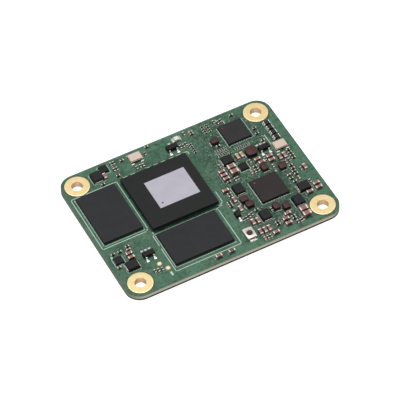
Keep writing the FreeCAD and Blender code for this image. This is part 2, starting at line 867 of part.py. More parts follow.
def make_chip_parts():
    """Capacitors and resistors by size: with end caps where large, else as one block."""
    large_body, large_ends = chip_parts("large_chip")
    medium_body, medium_ends = chip_parts("medium_chip")
    for label, body, ends, where in (
        ("large_capacitor", large_body, large_ends, both_ways(LARGE_ACROSS, [])),
        ("capacitor", medium_body, medium_ends, both_ways(MEDIUM_ACROSS, MEDIUM_DEEP)),
        ("film_capacitor", medium_body, medium_ends, both_ways([], FILM_CAPACITORS_DEEP)),
    ):
        on_face(label + "_bodies", copies(body, where))
        on_face(label + "_ends", copies(ends, where))
    small = box("SmallChip", "small_chip_length", "small_chip_width", "small_chip_height")
    tiny = box("TinyChip", "tiny_chip_length", "tiny_chip_width", "tiny_chip_height")
    doc.recompute()
    capacitors = both_ways(SMALL_CAPACITORS_ACROSS, SMALL_CAPACITORS_DEEP)
    resistors = both_ways(SMALL_RESISTORS_ACROSS, SMALL_RESISTORS_DEEP)
    tiny_ones = both_ways(TINY_ACROSS, TINY_DEEP)
    below = both_ways(underside_places(), [])
    on_face("small_capacitors", copies(small, capacitors))
    on_face("small_resistors", copies(small, resistors))
    on_face("tiny_capacitors", copies(tiny, tiny_ones))
    on_face("underside_capacitors", copies(small, below), underside=True)


def make_resistor_arrays():
    """Column of resistor arrays, each with two terminals on either side."""
    body = box(
        "ArrayBody",
        "array_length - 2 * array_end",
        "array_width",
        "array_height",
    )
    terminals = []
    for side in ("-", "+"):
        for line in ("-", "+"):
            terminals.append(
                box(
                    "ArrayTerminal",
                    "array_end",
                    "array_terminal_width",
                    "array_height",
                    across="%s(array_length / 2 - array_end / 2)" % side,
                    deep="%sarray_terminal_spacing / 2" % line,
                )
            )
    four = group("ArrayTerminals", *terminals)
    doc.recompute()
    where = [spot(place) for place in ARRAY_PLACES]
    on_face("resistor_array_bodies", copies(body, where))
    on_face("resistor_array_terminals", copies(four, where))


def snap_dome():
    """Thin spherical dome that the plunger snaps through, resting on the well's floor."""
    chord = size("switch_well_radius") - size("plunger_clearance")
    rise = size("dome_rise")
    sheet_thickness = size("dome_sheet")
    foot = size("switch_floor")
    ball = (chord ** 2 + rise ** 2) / (2 * rise)
    bend = math.asin(chord / ball)
    centre = foot + rise - ball
    rings = []
    for radius in (ball, ball + sheet_thickness):
        middle = FreeCAD.Vector(
            radius * math.sin(bend / 2), 0, centre + radius * math.cos(bend / 2)
        )
        apex = FreeCAD.Vector(0, 0, centre + radius)
        rim = FreeCAD.Vector(radius * math.sin(bend), 0, centre + radius * math.cos(bend))
        rings.append((apex, middle, rim))
    inner, outer = rings
    edges = [
        Part.Arc(*inner).toShape(),
        Part.makeLine(inner[2], outer[2]),
        Part.Arc(*outer).toShape(),
        Part.makeLine(outer[0], inner[0]),
    ]
    profile = Part.Face(Part.Wire(Part.__sortEdges__(edges)))
    dome = doc.addObject("Part::Feature", "SnapDome")
    dome.Shape = profile.revolve(FreeCAD.Vector(), FreeCAD.Vector(0, 0, 1), 360)
    return dome


def make_switch():
    """Tactile switch: welled base, dome, sheet cover with a window, plunger and tabs."""
    inner_width = "switch_width - 2 * switch_sheet"
    block = box("SwitchBlock", inner_width, "switch_length", SWITCH_BASE_HEIGHT)
    well = cylinder(
        "SwitchWell",
        "switch_well_radius",
        SWITCH_BASE_HEIGHT + " - switch_floor",
        "switch_floor",
    )
    base = cut("SwitchBase", block, well)
    top = box(
        "CoverTop", "switch_width", "switch_length", "switch_sheet", level=SWITCH_BASE_HEIGHT
    )
    skirts = []
    for side in ("-", "+"):
        skirts.append(
            box(
                "CoverSkirt",
                "switch_sheet",
                "switch_skirt_length",
                "switch_skirt_height",
                across="%s(switch_width / 2 - switch_sheet / 2)" % side,
                level=SWITCH_BASE_HEIGHT + " - switch_skirt_height",
            )
        )
    window = cylinder(
        "CoverWindow", "switch_window_radius", "switch_sheet", SWITCH_BASE_HEIGHT
    )
    cover = cut("SwitchCover", fuse("CoverSheet", top, *skirts), window)
    flange_top = SWITCH_BASE_HEIGHT + " - plunger_gap"
    flange = cylinder(
        "PlungerFlange",
        "switch_well_radius - plunger_clearance",
        "plunger_flange",
        flange_top + " - plunger_flange",
    )
    stem_radius = "switch_window_radius - plunger_clearance"
    stem_height = "plunger_gap + switch_sheet + plunger_proud - plunger_chamfer"
    stem = cylinder("PlungerStem", stem_radius, stem_height, flange_top)
    crown = doc.addObject("Part::Cone", "PlungerCrown")
    bind(
        crown,
        Radius1=stem_radius,
        Radius2=stem_radius + " - plunger_chamfer",
        Height="plunger_chamfer",
        Placement__Base__z=flange_top + " + " + stem_height,
    )
    plunger = fuse("SwitchPlunger", flange, stem, crown)
    tabs = []
    for side in ("-", "+"):
        tabs.append(
            box(
                "SwitchTab",
                "switch_tab_width",
                "switch_tab_length",
                "switch_tab_thickness",
                deep="%s(switch_length / 2 + switch_tab_length / 2)" % side,
            )
        )
    tab_pair = group("SwitchTabs", *tabs)
    dome = snap_dome()
    doc.recompute()
    where = [spot(SWITCH_PLACE)]
    on_face("switch_base", copies(base, where))
    on_face("switch_dome", copies(dome, where))
    on_face("switch_cover", copies(cover, where))
    on_face("switch_button", copies(plunger, where))
    on_face("switch_terminals", copies(tab_pair, where))


def make_connector_unit():
    """Housing with a moat round its tongue, mating face up, and its soldered tails."""
    length = "%d * contact_pitch + 2 * connector_end" % (CONTACTS_PER_ROW - 1)
    body = doc.addObject("PartDesign::Body", "ConnectorBody")
    outline = sketch_on_plan(body, "ConnectorOutline")
    draw_rectangle(outline, "outer", length, "connector_width")
    block = body.newObject("PartDesign::Pad", "ConnectorBlock")
    block.Profile = outline
    bind(block, Length="connector_height")
    doc.recompute()
    corners = body.newObject("PartDesign::Chamfer", "ConnectorCorners")
    corners.Base = (block, upright_edges(block.Shape))
    bind(corners, Size="connector_corner")
    doc.recompute()
    moat = sketch_on_plan(body, "ConnectorMoat", "connector_height")
    draw_rectangle(
        moat,
        "moat",
        "%s - 2 * connector_end_wall" % length,
        "connector_width - 2 * connector_wall",
    )
    draw_rectangle(
        moat,
        "tongue",
        "%s - 2 * connector_end" % length,
        "connector_tongue",
    )
    trench = body.newObject("PartDesign::Pocket", "ConnectorTrench")
    trench.Profile = moat
    bind(trench, Length="connector_height - connector_floor")
    doc.recompute()
    tail = box(
        "ContactTail",
        "contact_width",
        "contact_tail",
        "contact_thickness",
        deep="connector_width / 2 + contact_tail / 2",
    )
    doc.recompute()
    return body, tail


def make_connectors():
    """Front, rear and side connectors, in line with the mounting holes."""
    housing, tail = make_connector_unit()
    across = size("board_length") / 2 - size("hole_inset_across")
    deep = size("board_width") / 2 - size("hole_inset_deep")
    seats = (
        ("front_connector", FreeCAD.Vector(0, deep, 0), 0),
        ("rear_connector", FreeCAD.Vector(0, -deep, 0), 0),
        ("side_connector", FreeCAD.Vector(-across, 0, 0), 90),
    )
    for label, where, turn in seats:
        seat = FreeCAD.Placement(where, FreeCAD.Rotation(FreeCAD.Vector(0, 0, 1), turn))
        tails = []
        for side in (0, 180):
            about = FreeCAD.Rotation(FreeCAD.Vector(0, 0, 1), side)
            for index in range(CONTACTS_PER_ROW):
                shift = (index - (CONTACTS_PER_ROW - 1) / 2) * size("contact_pitch")
                slide = FreeCAD.Placement(FreeCAD.Vector(shift, 0, 0), FreeCAD.Rotation())
                turned = FreeCAD.Placement(FreeCAD.Vector(), about).multiply(slide)
                tails.extend(copies(tail, [seat.multiply(turned)]))
        on_face(label + "_housing", copies(housing, [seat]), underside=True)
        on_face(label + "_contacts", tails, underside=True)


make_circuit_board()
make_mounting_sleeves()
make_test_pads()
make_processor()
make_memories()
make_leadless_chips()
make_power_inductors()
make_ferrites()
make_crystals()
make_outline_packages()
make_lamp()
make_chip_parts()
make_resistor_arrays()
make_switch()
make_connectors()
doc.recompute()

for feature in doc.Objects:
    if "Invalid" in feature.State or "Error" in feature.State:
        raise RuntimeError("failed feature: " + feature.Label)
for feature in nodes:
    if feature.Shape.isNull() or not feature.Shape.isValid():
        raise RuntimeError("bad shape: " + feature.Label)

os.makedirs("parts", exist_ok=True)
for feature in nodes:
    feature.Shape.exportStep("parts/%s.step" % feature.Label)
print("sub-parts written:", len(nodes))
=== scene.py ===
"""Looks of the system on module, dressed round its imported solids.

Lengths in the classes are millimetres; Blender's own objects are in metres. +X runs along the
board's long side, +Y to its rear side and +Z out of the populated face.
"""

import json
import logging
import math
import random
from collections.abc import Sequence
from dataclasses import dataclass, field
from enum import Enum

import bmesh
import bpy
from mathutils import Matrix, Vector

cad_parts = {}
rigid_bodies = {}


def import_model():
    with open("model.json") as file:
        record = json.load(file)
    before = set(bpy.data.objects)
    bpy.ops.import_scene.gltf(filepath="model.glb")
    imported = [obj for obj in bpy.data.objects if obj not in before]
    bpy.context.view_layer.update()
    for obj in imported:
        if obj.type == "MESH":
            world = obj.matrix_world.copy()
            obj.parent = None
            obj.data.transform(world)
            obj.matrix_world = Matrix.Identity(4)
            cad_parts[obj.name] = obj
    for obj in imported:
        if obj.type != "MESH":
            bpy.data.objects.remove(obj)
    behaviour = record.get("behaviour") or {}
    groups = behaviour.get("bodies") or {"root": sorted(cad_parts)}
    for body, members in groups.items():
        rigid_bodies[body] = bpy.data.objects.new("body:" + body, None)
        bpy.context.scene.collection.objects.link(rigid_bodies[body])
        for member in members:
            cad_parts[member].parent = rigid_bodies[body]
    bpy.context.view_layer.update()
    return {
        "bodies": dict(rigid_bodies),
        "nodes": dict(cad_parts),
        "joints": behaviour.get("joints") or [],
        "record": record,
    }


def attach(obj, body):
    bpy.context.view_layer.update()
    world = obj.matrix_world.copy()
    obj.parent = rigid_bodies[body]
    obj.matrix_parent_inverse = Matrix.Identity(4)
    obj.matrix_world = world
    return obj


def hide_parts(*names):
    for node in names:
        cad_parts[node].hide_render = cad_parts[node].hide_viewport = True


MM = 0.001
MODULE = "module"
BUTTON = "button"
WHITE = (1.0, 1.0, 1.0, 1.0)
SHARP_ANGLE = math.radians(38)
BEVEL_ANGLE = math.radians(25)
BEVEL_STEPS = 3
WELD_REACH = 1e-7
TINY = 1e-6
FILLET_SPREAD = 0.08

Colour = tuple[float, float, float]
Plan = tuple[float, float]
Span = tuple[float, float]
Corner = tuple[float, float, float]
Value = bpy.types.NodeSocket | float | tuple[float, ...]
log = logging.getLogger("module_looks")


def linear(colour: Colour) -> tuple[float, float, float, float]:
    """Linear light of a screen colour.

    Args:
        colour: Red, green and blue from 0 to 255.

    Returns:
        The four numbers that a colour socket takes.
    """
    parts = [value / 255 for value in colour]
    light = [p / 12.92 if p <= 0.04045 else ((p + 0.055) / 1.055) ** 2.4 for p in parts]
    return light[0], light[1], light[2], 1.0


class Axis(Enum):
    """Direction in the board's plane that a part lies along."""

    ACROSS = 0
    DEEP = 1


@dataclass(frozen=True)
class Solid:
    """Box of one solid of a node, in millimetres."""

    low: Vector
    high: Vector

    @property
    def centre(self) -> Vector:
        """Middle of the box."""
        return (self.low + self.high) / 2

    @property
    def size(self) -> Vector:
        """Length, width and height of the box."""
        return self.high - self.low

    @property
    def seat(self) -> Vector:
        """Middle of the box's underside."""
        return Vector((self.centre.x, self.centre.y, self.low.z))

    @property
    def axis(self) -> Vector:
        """Middle of the box in plan, at level 0."""
        return Vector((self.centre.x, self.centre.y, 0.0))

    @property
    def longer(self) -> Axis:
        """Direction of the longer side in plan."""
        return Axis.ACROSS if self.size.x >= self.size.y else Axis.DEEP


class Tree:
    """Writer for the nodes of one material or one group."""

    def __init__(self, tree: bpy.types.NodeTree) -> None:
        """Keep the tree to write in."""
        self.tree = tree

    def add(self, kind: str, inputs: dict | None = None, **settings: object) -> bpy.types.Node:
        """Add a node, with its settings and with inputs given as values or sockets.

        Args:
            kind: Blender's name of the node type.
            inputs: Value or socket for each input's name or number.
            settings: Values for the node's own properties.

        Returns:
            The new node.
        """
        node = self.tree.nodes.new(kind)
        for name, value in settings.items():
            setattr(node, name, value)
        for name, value in (inputs or {}).items():
            if isinstance(value, bpy.types.NodeSocket):
                self.tree.links.new(value, node.inputs[name])
            else:
                node.inputs[name].default_value = value
        return node

    def math(self, operation: str, *values: Value) -> bpy.types.NodeSocket:
        """Result of a math node on sockets or numbers."""
        return self.add("ShaderNodeMath", dict(enumerate(values)), operation=operation).outputs[0]

    def product(self, first: Value, *others: Value) -> Value:
        """Product of sockets or numbers."""
        for other in others:
            first = self.math("MULTIPLY", first, other)
        return first

    def split(self, vector: Value) -> bpy.types.NodeOutputs:
        """Outputs X, Y and Z of a vector."""
        return self.add("ShaderNodeSeparateXYZ", {0: vector}).outputs

    def over(self, below: Value, colour: Colour, *shares: Value) -> bpy.types.NodeSocket:
        """Lay a screen colour over what is below, by the product of its shares."""
        inputs = {0: self.product(*shares), 6: below, 7: linear(colour)}
        return self.add("ShaderNodeMix", inputs, data_type="RGBA").outputs[2]

    def noise(self, vector: Value, scale: Value, detail: float) -> bpy.types.NodeSocket:
        """Value of a noise texture."""
        inputs = {"Vector": vector, "Scale": scale, "Detail": detail}
        return self.add("ShaderNodeTexNoise", inputs).outputs["Fac"]

    def ramp(self, value: Value, start: float, end: float) -> bpy.types.NodeSocket:
        """Share from 0 to 1 as a value goes from start to end, kept in that range."""
        inputs = {"Value": value, "From Min": start, "From Max": end}
        return self.add("ShaderNodeMapRange", inputs, clamp=True).outputs["Result"]


class MaterialTree(Tree):
    """Writer for a new material round its Principled shader."""

    def __init__(self, title: str) -> None:
        """Make the material of that name."""
        self.made = bpy.data.materials.new(title)
        self.made.use_nodes = True
        super().__init__(self.made.node_tree)
        self.sockets = self.tree.nodes["Principled BSDF"].inputs
        source = self.add("ShaderNodeTexCoord").outputs
        self.place, self.normal = source["Object"], source["Normal"]

    def lead(self, **sources: Value) -> None:
        """Set the shader's inputs from sockets or numbers, each _ standing for a space."""
        for name, value in sources.items():
            target = self.sockets[name.replace("_", " ")]
            if isinstance(value, bpy.types.NodeSocket):
                self.tree.links.new(value, target)
            else:
                target.default_value = value

    def relief(self, height: Value, depth: float) -> bpy.types.NodeSocket:
        """Normal of a relief whose depth is in millimetres."""
        inputs = {"Height": height, "Distance": depth * MM}
        return self.add("ShaderNodeBump", inputs).outputs["Normal"]


def grain_group() -> bpy.types.NodeTree:
    """Group of the two noises that most finishes use: broad mottling and fine flecks.

    Returns:
        The group, made once.
    """
    name = "grain"
    if name in bpy.data.node_groups:
        return bpy.data.node_groups[name]
    group = bpy.data.node_groups.new(name, "ShaderNodeTree")
    for title, way, kind in (
        ("Vector", "INPUT", "NodeSocketVector"), ("Broad", "INPUT", "NodeSocketFloat"),
        ("Fine", "INPUT", "NodeSocketFloat"), ("Mottle", "OUTPUT", "NodeSocketFloat"),
        ("Fleck", "OUTPUT", "NodeSocketFloat"),
    ):
        group.interface.new_socket(title, in_out=way, socket_type=kind)
    tree = Tree(group)
    given = tree.add("NodeGroupInput").outputs
    noises = (("Mottle", "Broad", 3.0, (0.35, 0.65)), ("Fleck", "Fine", 2.0, (0.3, 0.7)))
    tree.add("NodeGroupOutput", {
        title: tree.ramp(tree.noise(given["Vector"], given[scale], detail), *span)
        for title, scale, detail, span in noises
    })
    return group


@dataclass(frozen=True)
class Finish:
    """Surface with broad mottling, fine flecks and a little relief.

    The scales broad and fine are in cycles a metre and the relief is in millimetres.
    painted_side_shade is how far faces that look neither up nor down go to near black,
    the colour soot: painted shade on the sides.
    """

    name: str
    colour: Colour
    shade: Colour
    roughness: float = 0.5
    spread: float = 0.12
    metallic: float = 0.0
    broad: float = 900.0
    fine: float = 9000.0
    relief: float = 0.004
    specular: float = 0.5
    # Painted shade on side faces: how far they darken, the near black they go to, and for which
    # slopes.
    painted_side_shade: float = 0.0
    fleck_share: float = 0.35
    side_shade_colour: Colour = (8, 8, 9)
    side_shade_span: Span = (0.9, 0.3)

    def material(self) -> bpy.types.Material:
        """Blender's material for this finish, made once. The frame has no name like it."""
        title = "finish_" + self.name
        return bpy.data.materials.get(title) or self.write(title).made

    def write(self, title: str) -> MaterialTree:
        """Write the material.

        Args:
            title: Name of the material.

        Returns:
            The writer, with the material in it.
        """
        tree = MaterialTree(title)
        inputs = {"Vector": tree.place, "Broad": self.broad, "Fine": self.fine}
        grain = tree.add("ShaderNodeGroup", inputs, node_tree=grain_group()).outputs
        mottle, fleck = tree.product(grain["Mottle"], 1 - self.fleck_share), grain["Fleck"]
        share = tree.math("MULTIPLY_ADD", fleck, self.fleck_share, mottle)
        colour = tree.over(linear(self.colour), self.shade, share)
        # Painted shade: faces that look sideways go towards a near black.
        if self.painted_side_shade:
            upward = tree.math("ABSOLUTE", tree.split(tree.normal)["Z"])
            side = tree.ramp(upward, *self.side_shade_span)
            colour = tree.over(colour, self.side_shade_colour, side, self.painted_side_shade)
        rough = tree.math("MULTIPLY_ADD", fleck, self.spread, self.roughness - self.spread / 2)
        tree.lead(
            Base_Color=colour, Roughness=rough, Normal=tree.relief(fleck, self.relief),
            Metallic=self.metallic, Specular_IOR_Level=self.specular,
        )
        return tree


@dataclass(frozen=True)
class SpottedFinish(Finish):
    """Surface with round marks, each given by its X, its Y and its radius in millimetres."""

    spots: tuple[tuple[float, float, float], ...] = ()
    spot_colour: Colour = (60, 58, 66)
    spot_share: float = 1.0
    spot_blur: float = 0.1

    def write(self, title: str) -> MaterialTree:
        """Write the material, and lay the marks over the plain surface.

        Args:
            title: Name of the material.

        Returns:
            The writer, with the material in it.
        """
        tree = super().write(title)
        colour = tree.sockets["Base Color"].links[0].from_socket
        inputs = {0: tree.place, 1: (1.0, 1.0, 0.0)}
        flat = tree.add("ShaderNodeVectorMath", inputs, operation="MULTIPLY").outputs[0]
        for across, deep, radius in self.spots:
            inputs = {0: flat, 1: (across * MM, deep * MM, 0.0)}
            far = tree.add("ShaderNodeVectorMath", inputs, operation="DISTANCE").outputs["Value"]
            rim = [radius * (1 + blur) * MM for blur in (self.spot_blur, -self.spot_blur)]
            inside = tree.ramp(far, *rim)
            colour = tree.over(colour, self.spot_colour, inside, self.spot_share)
        tree.lead(Base_Color=colour)
        return tree


@dataclass(frozen=True)
class FloorFinish(Finish):
    """Pale paper that stays white to the camera, and is clear from below."""

    glow: float = 0.9

    def write(self, title: str) -> MaterialTree:
        """Write the material, with its glow and its clear back.

        Args:
            title: Name of the material.

        Returns:
            The writer, with the material in it.
        """
        tree = super().write(title)
        seen = tree.add("ShaderNodeLightPath").outputs["Is Camera Ray"]
        back = tree.add("ShaderNodeNewGeometry").outputs["Backfacing"]
        tree.lead(
            Emission_Color=WHITE, Emission_Strength=tree.product(seen, self.glow),
            Alpha=tree.math("SUBTRACT", 1.0, back),
        )
        return tree


@dataclass(frozen=True)
class Cloud:
    """Colour that lies over the board where a noise goes from one value to another."""

    colour: Colour
    scale: float
    detail: float
    span: Span
    share: float


@dataclass(frozen=True)
class BoardFinish:
    """Green mask over copper runs, with vias, and the laminate's cut edge.

    Lengths are in millimetres and scales in cells to a millimetre.
    """

    name: str = "green_board"
    mask: Colour = (63, 109, 83)
    pour: Colour = (77, 122, 95)
    pour_scale: float = 0.22
    pour_limit: float = 0.55
    bare: Cloud = Cloud((48, 78, 62), 0.5, 4.0, (0.48, 0.66), 0.75)
    seams: Cloud = Cloud((34, 50, 42), 1.3, 6.0, (0.56, 0.64), 0.6)
    run: Colour = (92, 132, 110)
    run_share: float = 0.7
    run_patches: float = 0.36
    run_jitter: float = 0.9
    run_pitches: float = 2.6
    run_turns: tuple[float, float, float] = (0.3, 0.55, 0.78)
    run_gap: float = 0.4
    via: Colour = (140, 168, 150)
    via_scale: float = 1.15
    via_limit: float = 0.35
    via_radius: float = 0.21
    via_share: float = 0.4
    # Painted shade: a dark middle in each via's hole.
    painted_hole_shade: Colour = (34, 50, 42)
    painted_hole_shade_radius: float = 0.12
    # Painted highlight: a pale band along the rear edge of the faces.
    painted_rear_highlight: Colour = (158, 168, 160)
    painted_rear_highlight_span: Span = (19.7, 19.86)
    painted_rear_highlight_share: float = 0.6
    # Painted shade: a darker cloud over the crowded part of the populated face, where parts shade
    # it.
    crowd_with_painted_shade: Cloud = Cloud((40, 62, 50), 1.5, 4.0, (0.4, 0.58), 0.8)
    crowd_start: Span = (3.5, 8.0)
    crowd_end: Span = (24.2, 22.0)
    crowd_side: Span = (19.0, 17.0)
    pad: Colour = (168, 188, 172)
    pad_scale: float = 1.7
    pad_limit: float = 0.4
    pad_radius: float = 0.2
    plies: float = 8.0
    layer_span: Span = (0.7, 0.9)
    laminate: Colour = (232, 225, 206)
    layer: Colour = (204, 196, 176)
    layer_share: float = 0.6
    edge_mask: Colour = (92, 128, 106)
    edge_mask_span: Span = (0.72, 1.0)
    edge_foot: Colour = (30, 26, 24)
    edge_foot_span: Span = (0.38, 0.3)
    # Painted shade: the cut edges at the board's short ends go darker and greener.
    short_edge_shade: Colour = (110, 124, 110)
    short_edge_shade_share: float = 0.8
    underside: float = 1.3
    thickness: float = 1.6
    relief: float = 0.02
    run_height: float = 0.6
    specular: float = 0.28
    weave_scale: float = 5.0
    weave_detail: float = 3.0
    weave_span: Span = (-1.5, 3.5)
    edge_rough: float = 0.35

    def material(self) -> bpy.types.Material:
        """Blender's material for the board."""
        return BoardTree(self).write()


class BoardTree(MaterialTree):
    """Writer for the board's material."""

    def __init__(self, looks: BoardFinish) -> None:
        """Keep the looks, and bring places into millimetres."""
        super().__init__(looks.name)
        self.looks = looks
        inputs = {0: self.place, "Scale": 1 / MM}
        self.place = self.add("ShaderNodeVectorMath", inputs, operation="SCALE").outputs[0]
        parts = self.split(self.place)
        self.across, self.deep, self.level = parts["X"], parts["Y"], parts["Z"]
        inputs = {"X": self.across, "Y": self.deep}
        self.flat = self.add("ShaderNodeCombineXYZ", inputs).outputs[0]

    def write(self) -> bpy.types.Material:
        """Write the surface of the board's two faces and of its cut edge.

        Returns:
            The material.
        """
        looks = self.looks
        facing = self.split(self.normal)
        side = self.math("LESS_THAN", self.math("ABSOLUTE", facing["Z"]), 0.5)
        # Painted shade on the cut edges that face along X, the board's short ends.
        ends = self.math("ABSOLUTE", facing["X"])
        cut = self.over(self.edge(), looks.short_edge_shade, ends, looks.short_edge_shade_share)
        runs = self.stripes()
        inputs = {0: side, 6: self.face(runs), 7: cut}
        colour = self.add("ShaderNodeMix", inputs, data_type="RGBA").outputs[2]
        weave = self.noise(self.place, looks.weave_scale, looks.weave_detail)
        fine = self.product(weave, 1 - looks.run_height)
        height = self.math("MULTIPLY_ADD", runs, looks.run_height, fine)
        rough = self.ramp(weave, *looks.weave_span)
        rough = self.math("MULTIPLY_ADD", side, looks.edge_rough, rough)
        self.lead(
            Base_Color=colour, Roughness=rough, Normal=self.relief(height, looks.relief),
            Specular_IOR_Level=looks.specular,
        )
        return self.made

    def cells(
        self, scale: float, randomness: float = 1.0, **settings: str
    ) -> tuple[bpy.types.NodeSocket, bpy.types.NodeOutputs]:
        """Cells that fill the board's plane.

        Args:
            scale: Cells to a millimetre.
            randomness: How far their middles leave an even grid, from 0 to 1.
            settings: Values for the node's own properties.

        Returns:
            Distance to a cell's middle, and the cell's random numbers by colour.
        """
        inputs = {"Vector": self.flat, "Scale": scale, "Randomness": randomness}
        outputs = self.add("ShaderNodeTexVoronoi", inputs, **settings).outputs
        parts = self.add("ShaderNodeSeparateColor", {0: outputs["Color"]}).outputs
        return outputs["Distance"], parts

    def cloud(self, below: Value, cloud: Cloud, share: Value = 1.0) -> bpy.types.NodeSocket:
        """Lay a cloud over what is below."""
        noise = self.noise(self.flat, cloud.scale, cloud.detail)
        return self.over(below, cloud.colour, self.ramp(noise, *cloud.span), share, cloud.share)

    def stripes(self) -> bpy.types.NodeSocket:
        """Mask of parallel copper runs that turn from patch to patch.

        Returns:
            Socket that is 1 on a run and 0 between runs.
        """
        looks = self.looks
        _, pick = self.cells(looks.run_patches, looks.run_jitter, distance="CHEBYCHEV")
        slopes = [self.math(kind, self.across, self.deep) for kind in ("ADD", "SUBTRACT")]
        chosen = self.across
        for limit, way in zip(looks.run_turns, (self.deep, *slopes)):
            inputs = {"Factor": self.math("GREATER_THAN", pick["Red"], limit), 2: chosen, 3: way}
            chosen = self.add("ShaderNodeMix", inputs, data_type="FLOAT").outputs[0]
        wave = self.math("FRACT", self.product(chosen, looks.run_pitches))
        filled = self.math("GREATER_THAN", pick["Green"], looks.run_gap)
        return self.product(self.math("LESS_THAN", wave, 0.5), filled)

    def face(self, runs: Value) -> bpy.types.NodeSocket:
        """Colour of the board's two faces, with painted shade and a painted highlight.

        Args:
            runs: Mask of the copper runs.

        Returns:
            Socket of the colour.
        """
        looks = self.looks
        _, area = self.cells(looks.pour_scale, distance="MANHATTAN")
        poured = self.math("GREATER_THAN", area["Blue"], looks.pour_limit)
        colour = self.over(linear(looks.mask), looks.pour, poured)
        colour = self.cloud(colour, looks.bare)
        colour = self.over(colour, looks.run, runs, looks.run_share)
        colour = self.cloud(colour, looks.seams)
        far, kept = self.cells(looks.via_scale)
        ring = self.math("LESS_THAN", far, looks.via_radius)
        chosen = self.math("GREATER_THAN", kept["Red"], looks.via_limit)
        colour = self.over(colour, looks.via, ring, looks.via_share, chosen)
        # Painted shade: a dark middle in each via's hole.
        colour = self.over(colour, looks.painted_hole_shade, self.math("LESS_THAN", far, looks.painted_hole_shade_radius))
        # Painted highlight: a pale band along the rear edge of both faces.
        rim = self.ramp(self.deep, *looks.painted_rear_highlight_span)
        colour = self.over(colour, looks.painted_rear_highlight, rim, looks.painted_rear_highlight_share)
        # Painted shade over the crowded part of the populated face; the pale pads keep to the same
        # part.
        crowd_with_painted_shade = self.product(
            self.ramp(self.across, *looks.crowd_start), self.ramp(self.across, *looks.crowd_end),
            self.ramp(self.math("ABSOLUTE", self.deep), *looks.crowd_side),
            self.math("GREATER_THAN", self.level, looks.underside + looks.thickness / 2),
        )
        colour = self.cloud(colour, looks.crowd_with_painted_shade, crowd_with_painted_shade)
        far, kept = self.cells(looks.pad_scale)
        pad = self.math("LESS_THAN", far, looks.pad_radius)
        chosen = self.math("GREATER_THAN", kept["Green"], looks.pad_limit)
        return self.over(colour, looks.pad, pad, chosen, crowd_with_painted_shade)

    def edge(self) -> bpy.types.NodeSocket:
        """Colour of the cut edge, from the foot's dark line up through the layers.

        Returns:
            Socket of the colour.
        """
        looks = self.looks
        height = self.math("SUBTRACT", self.level, looks.underside)
        share = self.math("DIVIDE", height, looks.thickness)
        ply = self.math("FRACT", self.product(share, looks.plies))
        ply = self.ramp(ply, *looks.layer_span)
        colour = self.over(linear(looks.laminate), looks.layer, ply, looks.layer_share)
        colour = self.over(colour, looks.edge_mask, self.ramp(share, *looks.edge_mask_span))
        return self.over(colour, looks.edge_foot, self.ramp(share, *looks.edge_foot_span))


# The side shares in the finishes below paint shade onto faces that look sideways.
def moulded(
    name: str, colour: Colour, shade: Colour, roughness: float = 0.58, broad: float = 500,
    painted_side_shade: float = 0.7,
) -> Finish:
    """Dark moulding compound."""
    return Finish(name, colour, shade, roughness, 0.12, 0, broad, 12000, 0.006, 0.25, painted_side_shade)


def ceramic(name: str, colour: Colour, shade: Colour, painted_side_shade: float) -> Finish:
    """Matt ceramic of a chip's body."""
    return Finish(name, colour, shade, 0.45, 0.15, 0, 1500, 9000, 0.006, 0.5, painted_side_shade)


GOLD = Finish("gold", (236, 213, 160), (228, 203, 146), 0.45, 0.1, 0.4, 700, 6000, 0.002)
# Painted highlight: a paler gold for the outer top edge of each plated ring.
GOLD_RIM_HIGHLIGHT = Finish("gold_rim_highlight", (240, 228, 172), (232, 218, 156), 0.4, 0.1, 0.4, 700, 6000, 0.002)
GOLD_BORE = Finish("gold_bore", (250, 222, 182), (242, 208, 166), 0.4, 0.1, 0.15, fine=5000)
TIN = Finish(
    "tin", (240, 224, 216), (214, 198, 192), 0.4, 0.2, 0.35, 1600, 8000, 0.006, painted_side_shade=0.55
)
CREAM_TIN = Finish(
    "cream_tin", (232, 227, 212), (204, 198, 184), 0.4, 0.2, 0.3, 1600, 8000, 0.006, painted_side_shade=0.5
)
SOLDER = Finish(
    "solder", (214, 210, 206), (166, 164, 162), 0.35, 0.2, 0.6, 1500, 7000, 0.008, painted_side_shade=0.3
)
LEAD = Finish("bright_lead", (244, 240, 236), (226, 220, 216), 0.35, 0.15, 0.3, 1500, 8000)
CLIP = Finish(
    "clip_metal", (240, 238, 234), (216, 212, 208), 0.4, 0.15, 0.25, 1500, 8000, 0.005,
    painted_side_shade=0.15,
)
SEAM = Finish("seam_ring", (240, 226, 204), (226, 206, 180), 0.35, 0.1, 0.4, 900, 8000, 0.003)
SHELL = Finish("switch_metal", (240, 226, 222), (226, 210, 206), 0.38, 0.1, 0.3, 700, 7000, 0.003)
CRYSTAL_LID = Finish(
    "crystal_lid", (222, 202, 188), (212, 192, 178), 0.4, 0.1, 0.25, 500, 7000, 0.002,
    painted_side_shade=0.4,
)
CRYSTAL_BASE = Finish(
    "crystal_base", (104, 88, 76), (78, 66, 56), spread=0.1, broad=1200, painted_side_shade=0.6
)
DIE = SpottedFinish(
    "bare_die", (195, 192, 203), (186, 183, 195), 0.45, 0.06, 0.1, 260, 7000, 0.001, 0.3,
    spots=((-8.94, 1.08, 0.22),),
)
MOULDING = moulded("moulding", (31, 34, 32), (26, 29, 27), 0.62)
MEMORY = moulded("memory_moulding", (44, 45, 48), (38, 39, 42), 0.6, 400, 0.75)
CHIP_MOULDING = moulded("chip_moulding", (50, 47, 49), (42, 40, 42))
WARM_MOULDING = moulded("warm_moulding", (50, 43, 41), (42, 36, 34))
LAMINATE = Finish("package_laminate", (36, 44, 40), (26, 32, 29), spread=0.1)
MARK = Finish("pin_mark", (84, 80, 82), (74, 70, 72), 0.6, 0.1, 0.0, 900, 7000, 0.002)
PRESSED = Finish(
    "pressed_powder", (35, 36, 35), (27, 29, 28), 0.6, 0.15, 0.0, 1500, 9000, 0.01, 0.25, 0.75
)
